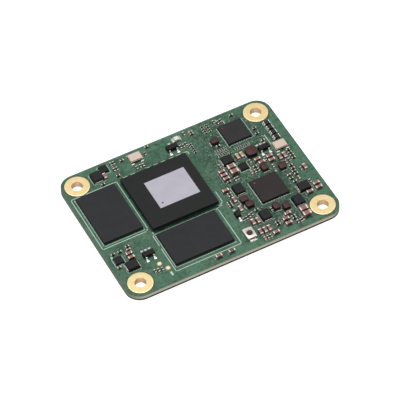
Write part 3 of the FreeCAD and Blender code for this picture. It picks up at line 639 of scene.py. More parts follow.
FERRITE = Finish(
    "ferrite", (86, 57, 55), (70, 45, 44), 0.5, 0.15, 0.0, 1300, 8000, 0.01, 0.25, 0.7
)
GLAZE = Finish(
    "resistor_glaze", (34, 35, 37), (24, 25, 27), 0.35, 0.1, 0.0, 1200, 9000, 0.004, 0.3, 0.6
)
BROWN = ceramic("brown_ceramic", (168, 116, 107), (144, 96, 89), 0.65)
PALE_BROWN = ceramic("pale_brown_ceramic", (190, 160, 140), (168, 138, 120), 0.65)
DARK_BROWN = ceramic("dark_ceramic", (86, 64, 56), (66, 48, 44), 0.45)
OLIVE = ceramic("olive_ceramic", (66, 64, 48), (50, 50, 38), 0.5)
BEIGE = ceramic("beige_ceramic", (206, 174, 128), (182, 150, 108), 0.4)
MIXED_BROWN = SpottedFinish(
    "mixed_brown_ceramic", (168, 116, 107), (144, 96, 89), 0.45, 0.15, 0.0, 1500, 9000, 0.006,
    painted_side_shade=0.65, spots=((-1.3, -18.5, 0.9),), spot_colour=(82, 80, 62), spot_share=0.85,
)
CERAMIC = Finish("pale_ceramic", (206, 200, 190), (186, 180, 170), spread=0.1, broad=1200)
LENS = Finish("lamp_resin", (250, 248, 242), (238, 236, 230), 0.2, 0.1, 0.0, 900, 6000, 0.003)
HOUSING = Finish("housing_plastic", (46, 46, 48), (38, 38, 40), relief=0.006)
SWITCH_PLASTIC = Finish("switch_plastic", (200, 178, 175), (180, 158, 156), spread=0.1)
BUTTON_PLASTIC = Finish(
    "button_plastic", (66, 62, 54), (50, 47, 42), 0.45, fine=8000, relief=0.006, specular=0.3
)
SILK = Finish("legend_ink", (206, 230, 214), (188, 216, 198), 0.7, 0.1, fine=7000)
HALO = Finish("bare_laminate", (70, 84, 56), (56, 70, 48), 0.5, 0.1, 0.0, 1200, 8000)
PAD_RIM = Finish("pad_rim", (186, 172, 118), (168, 156, 104), 0.5, 0.1, 0.2, 900, 7000, 0.003)
VIA_RING = Finish("via_ring", (124, 154, 134), (102, 136, 114), 0.5, 0.1, 0.2, 900, 7000, 0.003)
FLOOR = FloorFinish(
    "floor_paper", (240, 240, 240), (236, 236, 236), 0.9, 0.05, broad=20, fine=300
)


@dataclass
class Form:
    """Points in millimetres and faces, each face with the number of its finish."""

    points: list[Vector] = field(default_factory=list)
    faces: list[tuple[int, ...]] = field(default_factory=list)
    paints: list[int] = field(default_factory=list)

    def stamp(self, other: "Form", place: Matrix, paint: int | None = None) -> None:
        """Add a copy of another form.

        Args:
            other: Form to copy.
            place: Where the copy goes, in millimetres.
            paint: Finish number for the whole copy, or its own numbers where there is none.
        """
        base = len(self.points)
        self.points.extend(place @ point for point in other.points)
        self.faces.extend(tuple(base + index for index in face) for face in other.faces)
        self.paints.extend(other.paints if paint is None else [paint] * len(other.faces))

    def piece(
        self, name: str, finishes: Sequence[Finish], slot: str, replaces: Sequence[str] = (),
        body: str = MODULE,
    ) -> None:
        """Make the form into a piece that rides on a body.

        Args:
            name: Name of the piece.
            finishes: Finish for each finish number.
            slot: The record's material slot; not used.
            replaces: CAD nodes that the piece stands for.
            body: Body that it rides on.
        """
        mesh = bpy.data.meshes.new(name)
        mesh.from_pydata([point * MM for point in self.points], [], self.faces)
        for finish in finishes:
            mesh.materials.append(finish.material())
        mesh.polygons.foreach_set("material_index", self.paints)
        mesh.polygons.foreach_set("use_smooth", [True] * len(self.faces))
        mesh.update()
        mesh.set_sharp_from_angle(angle=SHARP_ANGLE)
        made = bpy.data.objects.new(name, mesh)
        bpy.context.scene.collection.objects.link(made)
        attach(made, body)
        if replaces:
            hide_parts(*replaces)
        log.info("%s: %d faces", name, len(self.faces))


def from_bmesh(work: bmesh.types.BMesh) -> Form:
    """Form of a bmesh, which is freed."""
    work.verts.index_update()
    points = [vertex.co.copy() for vertex in work.verts]
    faces = [tuple(vertex.index for vertex in face.verts) for face in work.faces]
    work.free()
    return Form(points, faces, [0] * len(faces))


def prism(outline: Sequence[Plan], height: float, edge: float = 0.0) -> Form:
    """Upright block on a plan outline, its top and upright edges rounded.

    Args:
        outline: Corners in plan, anticlockwise.
        height: Level of the top, over the underside at 0.
        edge: Radius of the rounded edges, or 0 for sharp ones.

    Returns:
        The form.
    """
    work = bmesh.new()
    foot = [work.verts.new((across, deep, 0.0)) for across, deep in outline]
    top = [work.verts.new((across, deep, height)) for across, deep in outline]
    work.faces.new(foot[::-1])
    work.faces.new(top)
    for index in range(len(outline)):
        after = (index + 1) % len(outline)
        work.faces.new((foot[index], foot[after], top[after], top[index]))
    if edge:
        work.normal_update()
        chosen = [
            side for side in work.edges
            if max(vertex.co.z for vertex in side.verts) > height / 2
        ]
        bmesh.ops.bevel(
            work, geom=chosen, offset=edge, offset_type="OFFSET", segments=2,
            profile=0.5, affect="EDGES", clamp_overlap=True,
        )
    return from_bmesh(work)


def block(size: Vector, edge: float = 0.0) -> Form:
    """Block centred in plan on its underside, its top and upright edges rounded."""
    half = size / 2
    outline = [(-half.x, -half.y), (half.x, -half.y), (half.x, half.y), (-half.x, half.y)]
    return prism(outline, size.z, edge)


def tube(rings: Sequence[Sequence[Vector]], paints: Sequence[int]) -> Form:
    """Closed sections joined one to the next round a ring.

    Args:
        rings: Points of each section, of the same number in all.
        paints: Finish number of the run that starts at each point.

    Returns:
        The form.
    """
    count = len(paints)
    form = Form([point for section in rings for point in section])
    for step in range(len(rings)):
        here, there = step * count, (step + 1) % len(rings) * count
        for index in range(count):
            after = (index + 1) % count
            form.faces.append((here + index, there + index, there + after, here + after))
            form.paints.append(paints[index])
    return form


def directions(sides: int, offset: float = 0.0) -> list[Vector]:
    """Even directions in plan, the first turned by a share of a step from +X."""
    angles = [math.tau * (step + offset) / sides for step in range(sides)]
    return [Vector((math.cos(angle), math.sin(angle), 0)) for angle in angles]


def lathe(profile: Sequence[Plan], sides: int, paints: Sequence[int] = ()) -> Form:
    """Closed profile of radius and level, turned about the upright axis.

    Args:
        profile: Radius and level of each point, the last joined to the first.
        sides: Number of steps round.
        paints: Finish number of the run that starts at each point, 0 where there is none.

    Returns:
        The form.
    """
    rings = [
        [Vector((way.x * radius, way.y * radius, level)) for radius, level in profile]
        for way in directions(sides)
    ]
    return tube(rings, paints or [0] * len(profile))


def disc(radius: float, height: float, sides: int = 32) -> Form:
    """Thin round plate with a sharp rim."""
    return prism([tuple(way.xy * radius) for way in directions(sides)], height)


def ball(radius: float) -> Form:
    """Small ball."""
    work = bmesh.new()
    bmesh.ops.create_icosphere(work, subdivisions=2, radius=radius)
    return from_bmesh(work)


def fillet(width: float, reach: float, height: float, steps: int = 5) -> Form:
    """Hollow-curved run of solder from a terminal's face at X 0 down to its pad.

    Args:
        width: Width across the terminal.
        reach: How far the solder runs out along +X.
        height: How high it climbs.
        steps: Flats in its curve.

    Returns:
        The form.
    """
    half, spread = width / 2, width * FILLET_SPREAD
    form = Form()
    for step in range(steps + 1):
        angle = math.pi / 2 * step / steps
        across, level = reach * (1 - math.cos(angle)), height * (1 - math.sin(angle))
        flare = half + spread * across / reach
        form.points.extend((Vector((across, -flare, level)), Vector((across, flare, level))))
    form.points.extend((Vector((0, -half, 0)), Vector((0, half, 0))))
    foot = 2 * (steps + 1)
    for step in range(steps):
        near, far = 2 * step, 2 * step + 2
        form.faces.append((near, far, far + 1, near + 1))
        form.faces.append((far, near, foot))
        form.faces.append((near + 1, far + 1, foot + 1))
    form.faces.append((foot, 0, 1, foot + 1))
    form.paints = [0] * len(form.faces)
    return form


def placed(where: Vector, turn: float = 0.0) -> Matrix:
    """Matrix that turns a form about the upright axis in degrees, and then moves it."""
    return Matrix.Translation(where) @ Matrix.Rotation(math.radians(turn), 4, "Z")


def heading(way: Vector) -> float:
    """Turn in degrees from +X to the nearer board direction of a plan vector."""
    if abs(way.x) >= abs(way.y):
        return 0.0 if way.x > 0 else 180.0
    return 90.0 if way.y > 0 else -90.0


def nearest(homes: Sequence[Solid], part: Solid) -> Solid:
    """Home whose middle is nearest to the part's middle in plan."""
    return min(homes, key=lambda home: (home.centre - part.centre).xy.length)


@dataclass(frozen=True)
class Run:
    """Run of solder out of a terminal, in millimetres.

    It climbs by climb and by climb_share of the terminal's height, is as wide as a share of
    the terminal, and starts lap inside it. It keeps to an axis where one is given. Terminals
    within the share inner of the body's half side from its middle have none.
    """

    reach: float
    climb: float = 0.0
    climb_share: float = 0.0
    share: float = 1.0
    lap: float = 0.01
    axis: Axis | None = None
    inner: float = 0.0


@dataclass
class Assembly:
    frame: dict

    def solids(self, node: str) -> list[Solid]:
        """Separate solids of a CAD node, found by the corners that its faces share.

        Args:
            node: Name of the node.

        Returns:
            One box for each solid, in order of place.
        """
        mesh = self.frame["nodes"][node].data
        keys = [tuple(round(value / MM, 4) for value in vertex.co) for vertex in mesh.vertices]
        leader = {key: key for key in keys}

        def find(key: Corner) -> Corner:
            """Leading corner of the group that a corner belongs to."""
            while leader[key] != key:
                leader[key] = leader[leader[key]]
                key = leader[key]
            return key

        for face in mesh.polygons:
            first = find(keys[face.vertices[0]])
            for index in face.vertices[1:]:
                leader[find(keys[index])] = first
        groups: dict[Corner, list[Corner]] = {}
        for key in leader:
            groups.setdefault(find(key), []).append(key)
        found = [
            Solid(Vector([min(side) for side in zip(*group)]),
                  Vector([max(side) for side in zip(*group)]))
            for group in groups.values()
        ]
        return sorted(found, key=lambda solid: tuple(solid.low) + tuple(solid.high))

    def dress(self, node: str, finish: Finish | BoardFinish, edge: float = 0.0) -> None:
        """Give a CAD node that stays a better finish, and round its edges.

        Args:
            node: Name of the node.
            finish: Finish for all of it.
            edge: Radius of its rounded edges in millimetres, or 0 to leave them.
        """
        kept = self.frame["nodes"][node]
        kept.data.materials.clear()
        kept.data.materials.append(finish.material())
        if edge:
            weld = kept.modifiers.new("joined_corners", "WELD")
            weld.merge_threshold = WELD_REACH
            round_edges = kept.modifiers.new("round_edges", "BEVEL")
            round_edges.width = edge * MM
            round_edges.segments = BEVEL_STEPS
            round_edges.limit_method = "ANGLE"
            round_edges.angle_limit = BEVEL_ANGLE
            round_edges.use_clamp_overlap = True
            kept.modifiers.new("even_shading", "WEIGHTED_NORMAL")
        log.info("%s: dressed in %s", node, finish.name)

    def solder(self, form: Form, node: str, bodies: str, run: Run) -> None:
        """Run solder out of each terminal of a node, away from its nearest body.

        Args:
            form: Form to add it to.
            node: Node of the terminals.
            bodies: Node of the bodies.
            run: How the solder runs.
        """
        homes = self.solids(bodies)
        for foot in self.solids(node):
            home = nearest(homes, foot)
            way = foot.centre - home.centre
            if max(abs(way.x), abs(way.y)) < home.size.x / 2 * run.inner:
                continue
            if run.axis is not None:
                way[1 - run.axis.value] = 0.0
            turn = heading(way)
            along = 0 if turn in (0.0, 180.0) else 1
            out = placed(Vector(), turn) @ Vector((1, 0, 0))
            start = foot.seat + out * (foot.size[along] / 2 - run.lap)
            climb = run.climb + foot.size.z * run.climb_share
            shape = fillet(foot.size[1 - along] * run.share, run.reach, climb)
            form.stamp(shape, placed(start, turn))


@dataclass(frozen=True)
class Lamp:
    """Square soft light that looks at the module, in millimetres and watts."""

    name: str
    place: tuple[float, float, float]
    side: float
    power: float

    def hang(self) -> None:
        """Make the light."""
        light = bpy.data.lights.new(self.name, "AREA")
        light.energy = self.power
        light.size = self.side * MM
        made = bpy.data.objects.new(self.name, light)
        made.location = Vector(self.place) * MM
        made.rotation_mode = "QUATERNION"
        made.rotation_quaternion = (-Vector(self.place)).to_track_quat("-Z", "Y")
        bpy.context.scene.collection.objects.link(made)


@dataclass
class Studio:
    """Pale floor, soft lights and the camera."""

    floor_side: float = 4000.0
    room: float = 0.34
    lamps: tuple[Lamp, ...] = (
        Lamp("overhead", (60, 260, 900), 520, 4.9),
        Lamp("front_fill", (-420, -520, 260), 380, 0.7),
        Lamp("under_fill", (-160, -220, -700), 520, 2.0),
    )
    lens: float = 257.54
    sensor: float = 36.0
    camera_place: tuple[float, float, float] = (-183.379, -384.820, 510.566)
    camera_turn: tuple[float, float, float] = (0.69610157, 0.03165914, -0.48302634)
    shift: float = 0.00125
    clip: Span = (10.0, 20000.0)

    def floor(self) -> None:
        """Lay the floor under the module."""
        half = self.floor_side / 2 * MM
        mesh = bpy.data.meshes.new("floor")
        corners = [(-half, -half, 0), (half, -half, 0), (half, half, 0), (-half, half, 0)]
        mesh.from_pydata(corners, [], [(0, 1, 2, 3)])
        mesh.materials.append(FLOOR.material())
        made = bpy.data.objects.new("floor", mesh)
        made.visible_diffuse = False
        made.visible_shadow = False
        bpy.context.scene.collection.objects.link(made)

    def world(self) -> None:
        """Set the even light of the room."""
        world = bpy.data.worlds.new("room")
        world.use_nodes = True
        back = world.node_tree.nodes["Background"]
        back.inputs["Color"].default_value = WHITE
        back.inputs["Strength"].default_value = self.room
        bpy.context.scene.world = world

    def camera(self) -> None:
        """Put the camera where the photograph was taken from."""
        data = bpy.data.cameras.new("camera")
        data.lens = self.lens
        data.sensor_width = self.sensor
        data.shift_x = -self.shift
        data.shift_y = self.shift
        data.clip_start, data.clip_end = (reach * MM for reach in self.clip)
        made = bpy.data.objects.new("camera", data)
        made.location = Vector(self.camera_place) * MM
        made.rotation_euler = self.camera_turn
        bpy.context.scene.collection.objects.link(made)
        bpy.context.scene.camera = made

    def build(self) -> None:
        """Set up the whole studio."""
        self.floor()
        self.world()
        for lamp in self.lamps:
            lamp.hang()
        self.camera()
        bpy.context.scene.view_settings.view_transform = "Standard"


@dataclass
class BoardDressing(Assembly):
    """What lies flat on the board: legend lines, land surrounds and plated rings."""

    ink: float = 0.012
    line_width: float = 0.2
    line_lap: float = 0.9
    lines: tuple[tuple[Plan, ...], ...] = (
        ((-26.75, 13.15), (-26.75, -3.6), (-15.6, -3.6), (-14.95, -3.0), (-14.95, 13.15),
         (-26.75, 13.15)),
        ((-26.05, 12.6), (-26.05, -2.95), (-15.75, -2.95)),
        ((-13.0, 13.4), (-12.0, 13.4)), ((-11.0, 13.4), (-10.0, 13.4)),
        ((-6.8, 13.4), (-6.2, 13.4)), ((-5.0, 13.4), (-4.1, 13.4)),
        ((-3.1, 13.4), (-2.1, 13.4)), ((-0.9, 13.4), (0.0, 13.4)),
        ((0.8, 13.4), (1.9, 13.4)), ((2.8, 13.4), (3.8, 13.4), (3.8, 12.5)),
        ((3.8, -0.9), (3.8, -4.2), (2.4, -5.4), (-14.95, -5.4), (-14.95, -8.8)),
        ((-14.95, -10.0), (-14.95, -17.3), (1.85, -17.3), (1.85, -6.0), (1.4, -5.4)),
        ((-14.45, -5.95), (-14.45, -16.36), (0.95, -16.36)), ((2.0, -4.5), (3.1, -5.2)),
        ((22.0, 9.0), (22.0, 3.1), (23.2, 3.1)), ((24.1, 3.1), (25.4, 3.1)),
        ((-9.45, 19.0), (-9.45, 16.2)), ((13.35, 19.0), (13.35, 17.9)),
        ((14.05, 18.9), (14.05, 18.0)), ((15.55, 17.7), (15.55, 16.8)),
    )
    bars: tuple[tuple[tuple[Plan, ...], float], ...] = (
        (((-16.1, -17.0), (-16.1, -17.7)), 0.5), (((14.9, 18.0), (14.9, 18.4)), 0.3),
        (((19.7, 9.8), (19.7, 16.3)), 0.1),
    )
    under_lines: tuple[tuple[Plan, ...], ...] = (
        ((-12.5, -13.6), (12.5, -13.6)), ((-12.5, 13.6), (12.5, 13.6)),
        ((-20.6, -12.5), (-20.6, 12.5)),
    )
    outline_width: float = 0.13
    outlines: tuple[tuple[str, float, int], ...] = (
        ("power_inductor_bodies", 0.15, 3), ("network_chip_body", 0.2, 3),
        ("power_chip_body", 0.22, 3), ("converter_bodies", 0.3, 5),
    )
    marks: tuple[tuple[float, float, float], ...] = (
        (-14.5, -4.8, 0.28), (-26.1, -6.7, 0.3), (19.1, -2.0, 0.25), (13.2, 9.7, 0.2),
    )
    mark_sides: int = 20
    via_bore: float = 0.13
    via_rim: float = 0.19
    via_sides: int = 12
    hole_shade_disc_share: float = 0.6
    via_seed: int = 11
    via_groups: tuple[tuple[float, float, float, float, int], ...] = (
        (-15.3, -4.4, 0.35, 0.7, 7), (-16.4, -4.9, 0.9, 0.5, 5), (-18.6, -4.6, 2.0, 0.5, 3),
        (-0.5, 16.0, 1.6, 1.4, 6), (6.5, 15.5, 2.2, 2.0, 10), (5.2, 2.5, 0.8, 6.0, 7),
        (7.4, -2.0, 1.0, 4.0, 6), (10.2, -12.6, 2.2, 0.9, 9), (7.2, -11.2, 1.0, 1.0, 8),
        (20.6, -1.0, 1.6, 3.0, 9), (22.6, 1.8, 2.2, 1.0, 8), (12.0, 2.4, 1.6, 1.4, 7),
        (20.8, 11.0, 0.8, 2.6, 8), (22.0, 14.0, 0.6, 0.6, 3), (17.0, -12.6, 2.6, 1.0, 9),
        (-8.5, -18.4, 12.0, 0.5, 9), (13.0, -18.3, 8.0, 0.5, 6), (-12.0, 15.2, 1.2, 1.6, 6),
        (-17.0, 16.6, 1.4, 1.0, 6), (-3.4, 18.6, 2.4, 0.5, 4), (9.6, 18.4, 2.2, 0.6, 6),
    )
    ring_sides: int = 96
    ring_bore: float = 1.35
    ring_slope: float = 0.26
    ring_crown: float = 0.06
    plating: float = 0.05
    ring_soft: float = 0.03
    ring_drop: float = 0.005
    halo_width: float = 0.3
    halo_lap: float = 0.02
    pad_surround: tuple[float, float, float] = (0.42, 0.66, 0.64)
    pad_sides: int = 40

    def ribbon(self, form: Form, path: Sequence[Plan], level: float, width: float) -> None:
        """Add a flat line along a path.

        Args:
            form: Form to add to.
            path: Points in plan.
            level: Level of the surface that it is printed on.
            width: Width of the line.
        """
        for first, last in zip(path, path[1:]):
            start, end = Vector((*first, level)), Vector((*last, level))
            way = end - start
            size = Vector((way.length + width * self.line_lap, width, self.ink))
            turn = math.degrees(math.atan2(way.y, way.x))
            form.stamp(block(size), placed((start + end) / 2, turn))

    def legend(self, top: float, foot: float) -> None:
        """Print the lines, outlines and dots on both faces.

        Args:
            top: Level of the populated face.
            foot: Level of the underside.
        """
        ink = Form()
        for node, margin, corners in self.outlines:
            for solid in self.solids(node):
                west, south = solid.low.x - margin, solid.low.y - margin
                east, north = solid.high.x + margin, solid.high.y + margin
                around = (west, north), (west, south), (east, south), (east, north), (west, north)
                self.ribbon(ink, around[:corners], top, self.outline_width)
        for path in self.lines:
            self.ribbon(ink, path, top, self.line_width)
        for path, width in self.bars:
            self.ribbon(ink, path, top, width)
        for across, deep, radius in self.marks:
            ink.stamp(disc(radius, self.ink, self.mark_sides), placed(Vector((across, deep, top))))
        for path in self.under_lines:
            self.ribbon(ink, path, foot - self.ink, self.line_width)
        ink.piece("legend_lines", [SILK], "solder_mask")

    def hoop(self, inner: float, outer: float, crest: float, top: float, sides: int) -> Form:
        """Flat ring of ink's thickness.

        Args:
            inner: Radius of its hole.
            outer: Radius of its foot.
            crest: Radius of its upper edge.
            top: Level that it lies on.
            sides: Number of steps round.

        Returns:
            The form.
        """
        above = top + self.ink
        return lathe([(inner, top), (outer, top), (crest, above), (inner, above)], sides)

    def vias(self, top: float) -> None:
        """Groups of open plated holes, each a small ring round a dark middle of painted shade.

        Args:
            top: Level of the populated face.
        """
        draw = random.Random(self.via_seed)
        rim = self.hoop(self.via_bore, self.via_rim, self.via_rim, top, self.via_sides)
        # Painted shade: a dark disc in each open hole, in the bare laminate's finish.
        hole_shade_disc = disc(self.via_bore, self.ink * self.hole_shade_disc_share, self.via_sides)
        form = Form()
        for across, deep, wide, tall, count in self.via_groups:
            for _ in range(count):
                shift = draw.uniform(-wide, wide), draw.uniform(-tall, tall)
                where = Vector((across + shift[0], deep + shift[1], 0))
                form.stamp(rim, placed(where), 0)
                form.stamp(hole_shade_disc, placed(where + Vector((0, 0, top))), 1)
        form.piece("via_groups", [VIA_RING, HALO], "solder_mask")

    def sleeve(self, solid: Solid) -> Form:
        """Plated sleeve with soft rims, its outer top edge a paler gold as a painted highlight.

        Args:
            solid: Box of the CAD sleeve.

        Returns:
            The form, round the upright axis.
        """
        bore, outer, skin = self.ring_bore, solid.size.x / 2, self.plating
        foot, top, soft = solid.low.z, solid.high.z, self.ring_soft
        profile = [
            (bore, foot + soft), (bore, top - soft), (bore + soft, top),
            (outer - self.ring_slope, top), (outer - self.ring_crown, top - self.ring_drop),
            (outer, top - skin + soft), (outer, top - skin), (bore + skin, top - skin),
            (bore + skin, foot + skin), (outer, foot + skin), (outer, foot + skin - soft),
            (outer - soft, foot), (bore + soft, foot),
        ]
        # Finish 1, on the outer top edge, is a painted highlight.
        return lathe(profile, self.ring_sides, [2, 0, 0, 1, 1, 1, 0, 0, 0, 0, 0, 0, 2])

    def rings(self) -> None:
        """Plated sleeves, and the bare laminate round their lands."""
        metal, halo = Form(), Form()
        for solid in self.solids("mounting_rings"):
            where = placed(solid.axis)
            metal.stamp(self.sleeve(solid), where)
            outer, top = solid.size.x / 2, solid.high.z - self.plating
            wide = outer + self.halo_width
            halo.stamp(self.hoop(outer - self.halo_lap, wide, wide, top, self.ring_sides), where)
        metal.piece(
            "plated_sleeves", [GOLD, GOLD_RIM_HIGHLIGHT, GOLD_BORE], "gold_plating", ["mounting_rings"]
        )
        halo.piece("land_surrounds", [HALO], "solder_mask")

    def build(self) -> None:
        """Dress the board and all that lies flat on it."""
        self.dress("circuit_board", BoardFinish())
        board = self.solids("circuit_board")[0]
        self.legend(board.high.z, board.low.z)
        self.rings()
        self.vias(board.high.z)
        self.dress("test_pads", SEAM)
        surround = Form()
        hoop = self.hoop(*self.pad_surround, board.high.z, self.pad_sides)
        for pad in self.solids("test_pads"):
            surround.stamp(hoop, placed(pad.axis))
        surround.piece("test_pad_surrounds", [PAD_RIM], "solder_mask")


@dataclass
class GridPackage(Assembly):
    """Chip on a grid of solder balls."""

    title: str
    moulding: Finish
    pitch: float = 0.8
    rows: int = 2
    edge: float = 0.05
    laminate_edge: float = 0.02

    def balls(self) -> None:
        """Outer rows of solder balls, and the dark fill behind them."""
        node = self.title + "_solder"
        around = self.solids(node)[0]
        radius = around.size.z / 2
        counts = [int((side - 2 * radius) // self.pitch) + 1 for side in around.size.xy]
        steps = [(side - 2 * radius) / (count - 1) for side, count in zip(around.size.xy, counts)]
        one, form = ball(radius), Form()
        for column in range(counts[0]):
            for line in range(counts[1]):
                inward = min(column, line, counts[0] - 1 - column, counts[1] - 1 - line)
                if inward < self.rows:
                    shift = (radius + column * steps[0], radius + line * steps[1], radius)
                    form.stamp(one, placed(around.low + Vector(shift)), 0)
        inset = self.rows * self.pitch * 2
        fill = block(around.size - Vector((inset, inset, 0)))
        form.stamp(fill, placed(around.seat), 1)
        form.piece(self.title + "_balls", [SOLDER, LAMINATE], "solder", [node])

    def build(self) -> None:
        """Dress the package and set it on its balls."""
        self.dress(self.title + "_laminate", LAMINATE, self.laminate_edge)
        self.dress(self.title + "_moulding", self.moulding, self.edge)
        self.balls()


@dataclass
class Processor(GridPackage):
    """Grid package with a bare die showing in its moulding."""

    die: SpottedFinish = DIE
    die_edge: float = 0.02

    def build(self) -> None:
        """Dress the package, its die and the die's first-pin dot."""
        super().build()
        self.dress("processor_die", self.die, self.die_edge)


@dataclass
class LeadlessChip(Assembly):
    """Leadless chips with solder run out from their lands.

    The first-pin mark's radius is for a chip of mark_side, and its inset is a share of the
    chip's sides.
    """

    body: str
    lands: str
    finish: Finish
    run: Run = Run(0.28, 0.2, lap=0.1, inner=0.6)
    edge: float = 0.04
    mark_radius: float = 0.25
    mark_side: float = 7.0
    mark_height: float = 0.004
    mark_inset: float = 0.14

    def build(self) -> None:
        """Dress the bodies and lands, run solder out of the outer lands, and mark the tops."""
        self.dress(self.body, self.finish, self.edge)
        self.dress(self.lands, SOLDER)
        form, marks = Form(), Form()
        self.solder(form, self.lands, self.body, self.run)
        for home in self.solids(self.body):
            inset = Vector((1 - self.mark_inset, self.mark_inset, 0)) * home.size
            mark = disc(self.mark_radius * home.size.x / self.mark_side, self.mark_height)
            marks.stamp(mark, placed(home.high - inset))
        form.piece(self.lands + "_solder", [SOLDER], "solder")
        marks.piece(self.body + "_first_pin_mark", [MARK], "package_moulding")


@dataclass
class CappedChips(Assembly):
    """Larger chip capacitors, whose end caps are solids of their own."""

    title: str
    body: Finish
    run: Run = Run(0.2, climb_share=0.45, share=0.9)
    body_edge: float = 0.05
    cap_edge: float = 0.06

    def build(self) -> None:
        """Dress bodies and caps, and run solder out of each cap."""
        self.dress(self.title + "_bodies", self.body, self.body_edge)
        self.dress(self.title + "_ends", TIN, self.cap_edge)
        form = Form()
        self.solder(form, self.title + "_ends", self.title + "_bodies", self.run)
        form.piece(self.title + "_solder", [SOLDER], "solder")


@dataclass
class BlockChips(Assembly):
    """Smallest chips: ceramic block, wrapped ends and solder in place of plain blocks."""

    node: str
    slot: str
    bodies: Sequence[Finish]
    metal: Finish = TIN
    board_level: float = 2.0
    end_share: float = 0.24
    cap_edge_share: float = 0.1
    body_edge: float = 0.02
    body_overlap: float = 0.02
    proud: float = 0.02
    reach: float = 0.14
    climb: float = 0.5
    solder_share: float = 0.94
    lap: float = 0.01
    seed: int = 7

    def build(self) -> None:
        """Build the blocks, ends and solder of every chip of the node."""
        draw = random.Random(self.seed)
        blocks, metal = Form(), Form()
        for chip in self.solids(self.node):
            across = chip.longer is Axis.ACROSS
            length, width = chip.size.xy if across else chip.size.yx
            tall = chip.size.z
            place = placed(chip.seat, 0.0 if across else 90.0)
            if chip.high.z < self.board_level:
                hung = Matrix.Rotation(math.pi, 4, "X")
                place = place @ placed(Vector((0, 0, tall))) @ hung
            end = length * self.end_share
            middle = Vector((length - 2 * end, width, tall))
            middle += Vector((self.body_overlap, -2 * self.proud, -2 * self.proud))
            lift = placed(Vector((0, 0, self.proud)))
            paint = draw.randrange(len(self.bodies))
            blocks.stamp(block(middle, self.body_edge), place @ lift, paint)
            cap = block(Vector((end, width, tall)), width * self.cap_edge_share)
            run = fillet(width * self.solder_share, self.reach, tall * self.climb)
            for side, turn in ((1, 0.0), (-1, 180.0)):
                cap_middle, tip = (length - end) / 2, length / 2 - self.lap
                metal.stamp(cap, place @ placed(Vector((side * cap_middle, 0, 0))), 0)
                metal.stamp(run, place @ placed(Vector((side * tip, 0, 0)), turn), 1)
        blocks.piece(self.node + "_blocks", self.bodies, self.slot, [self.node])
        metal.piece(self.node + "_caps", [self.metal, SOLDER], "tinned_metal", [self.node])


@dataclass
class Inductors(Assembly):
    """Power, ferrite and drum inductors."""

    moulded_edge: float = 0.12
    ferrite_edge: float = 0.07
    ferrite_cut: float = 0.13
    drum_cut: float = 0.22
    clip_edge: float = 0.04
    foot_edge: float = 0.03
    clip_run: Run = Run(0.12, 0.16, lap=0.0)
    ferrite_run: Run = Run(0.2, 0.2, lap=0.0)
    drum_run: Run = Run(0.25, 0.2, lap=0.0)

    def cores(self, name: str, node: str, share: float) -> None:
        """Square ferrite cores with cut corners, each standing in its solid's box.

        Args:
            name: Name of the piece.
            node: CAD node that the piece stands for.
            share: Part of each side that the corner's cut takes.
        """
        form = Form()
        for solid in self.solids(node):
            half = solid.size / 2
            cut = share * solid.size.x
            corners = []
            for across, deep in ((1, -1), (1, 1), (-1, 1), (-1, -1)):
                first = (across * half.x, deep * (half.y - cut))
                last = (across * (half.x - cut), deep * half.y)
                corners.extend((first, last) if across == deep else (last, first))
            form.stamp(prism(corners, solid.size.z, self.ferrite_edge), placed(solid.seat))
        form.piece(name, [FERRITE], "ferrite", [node])

    def build(self) -> None:
        """Dress the three kinds of inductor and their terminals."""
        self.dress("power_inductor_bodies", PRESSED, self.moulded_edge)
        self.dress("power_inductor_clips", CLIP, self.clip_edge)
        self.cores("ferrite_cores", "ferrite_inductor_bodies", self.ferrite_cut)
        self.dress("ferrite_inductor_feet", SOLDER, self.foot_edge)
        self.cores("drum_core", "drum_inductor_core", self.drum_cut)
        self.dress("drum_inductor_feet", SOLDER, self.foot_edge)
        form = Form()
        self.solder(form, "power_inductor_clips", "power_inductor_bodies", self.clip_run)
        self.solder(form, "ferrite_inductor_feet", "ferrite_inductor_bodies", self.ferrite_run)
        self.solder(form, "drum_inductor_feet", "drum_inductor_core", self.drum_run)
        form.piece("inductor_solder", [SOLDER], "solder")


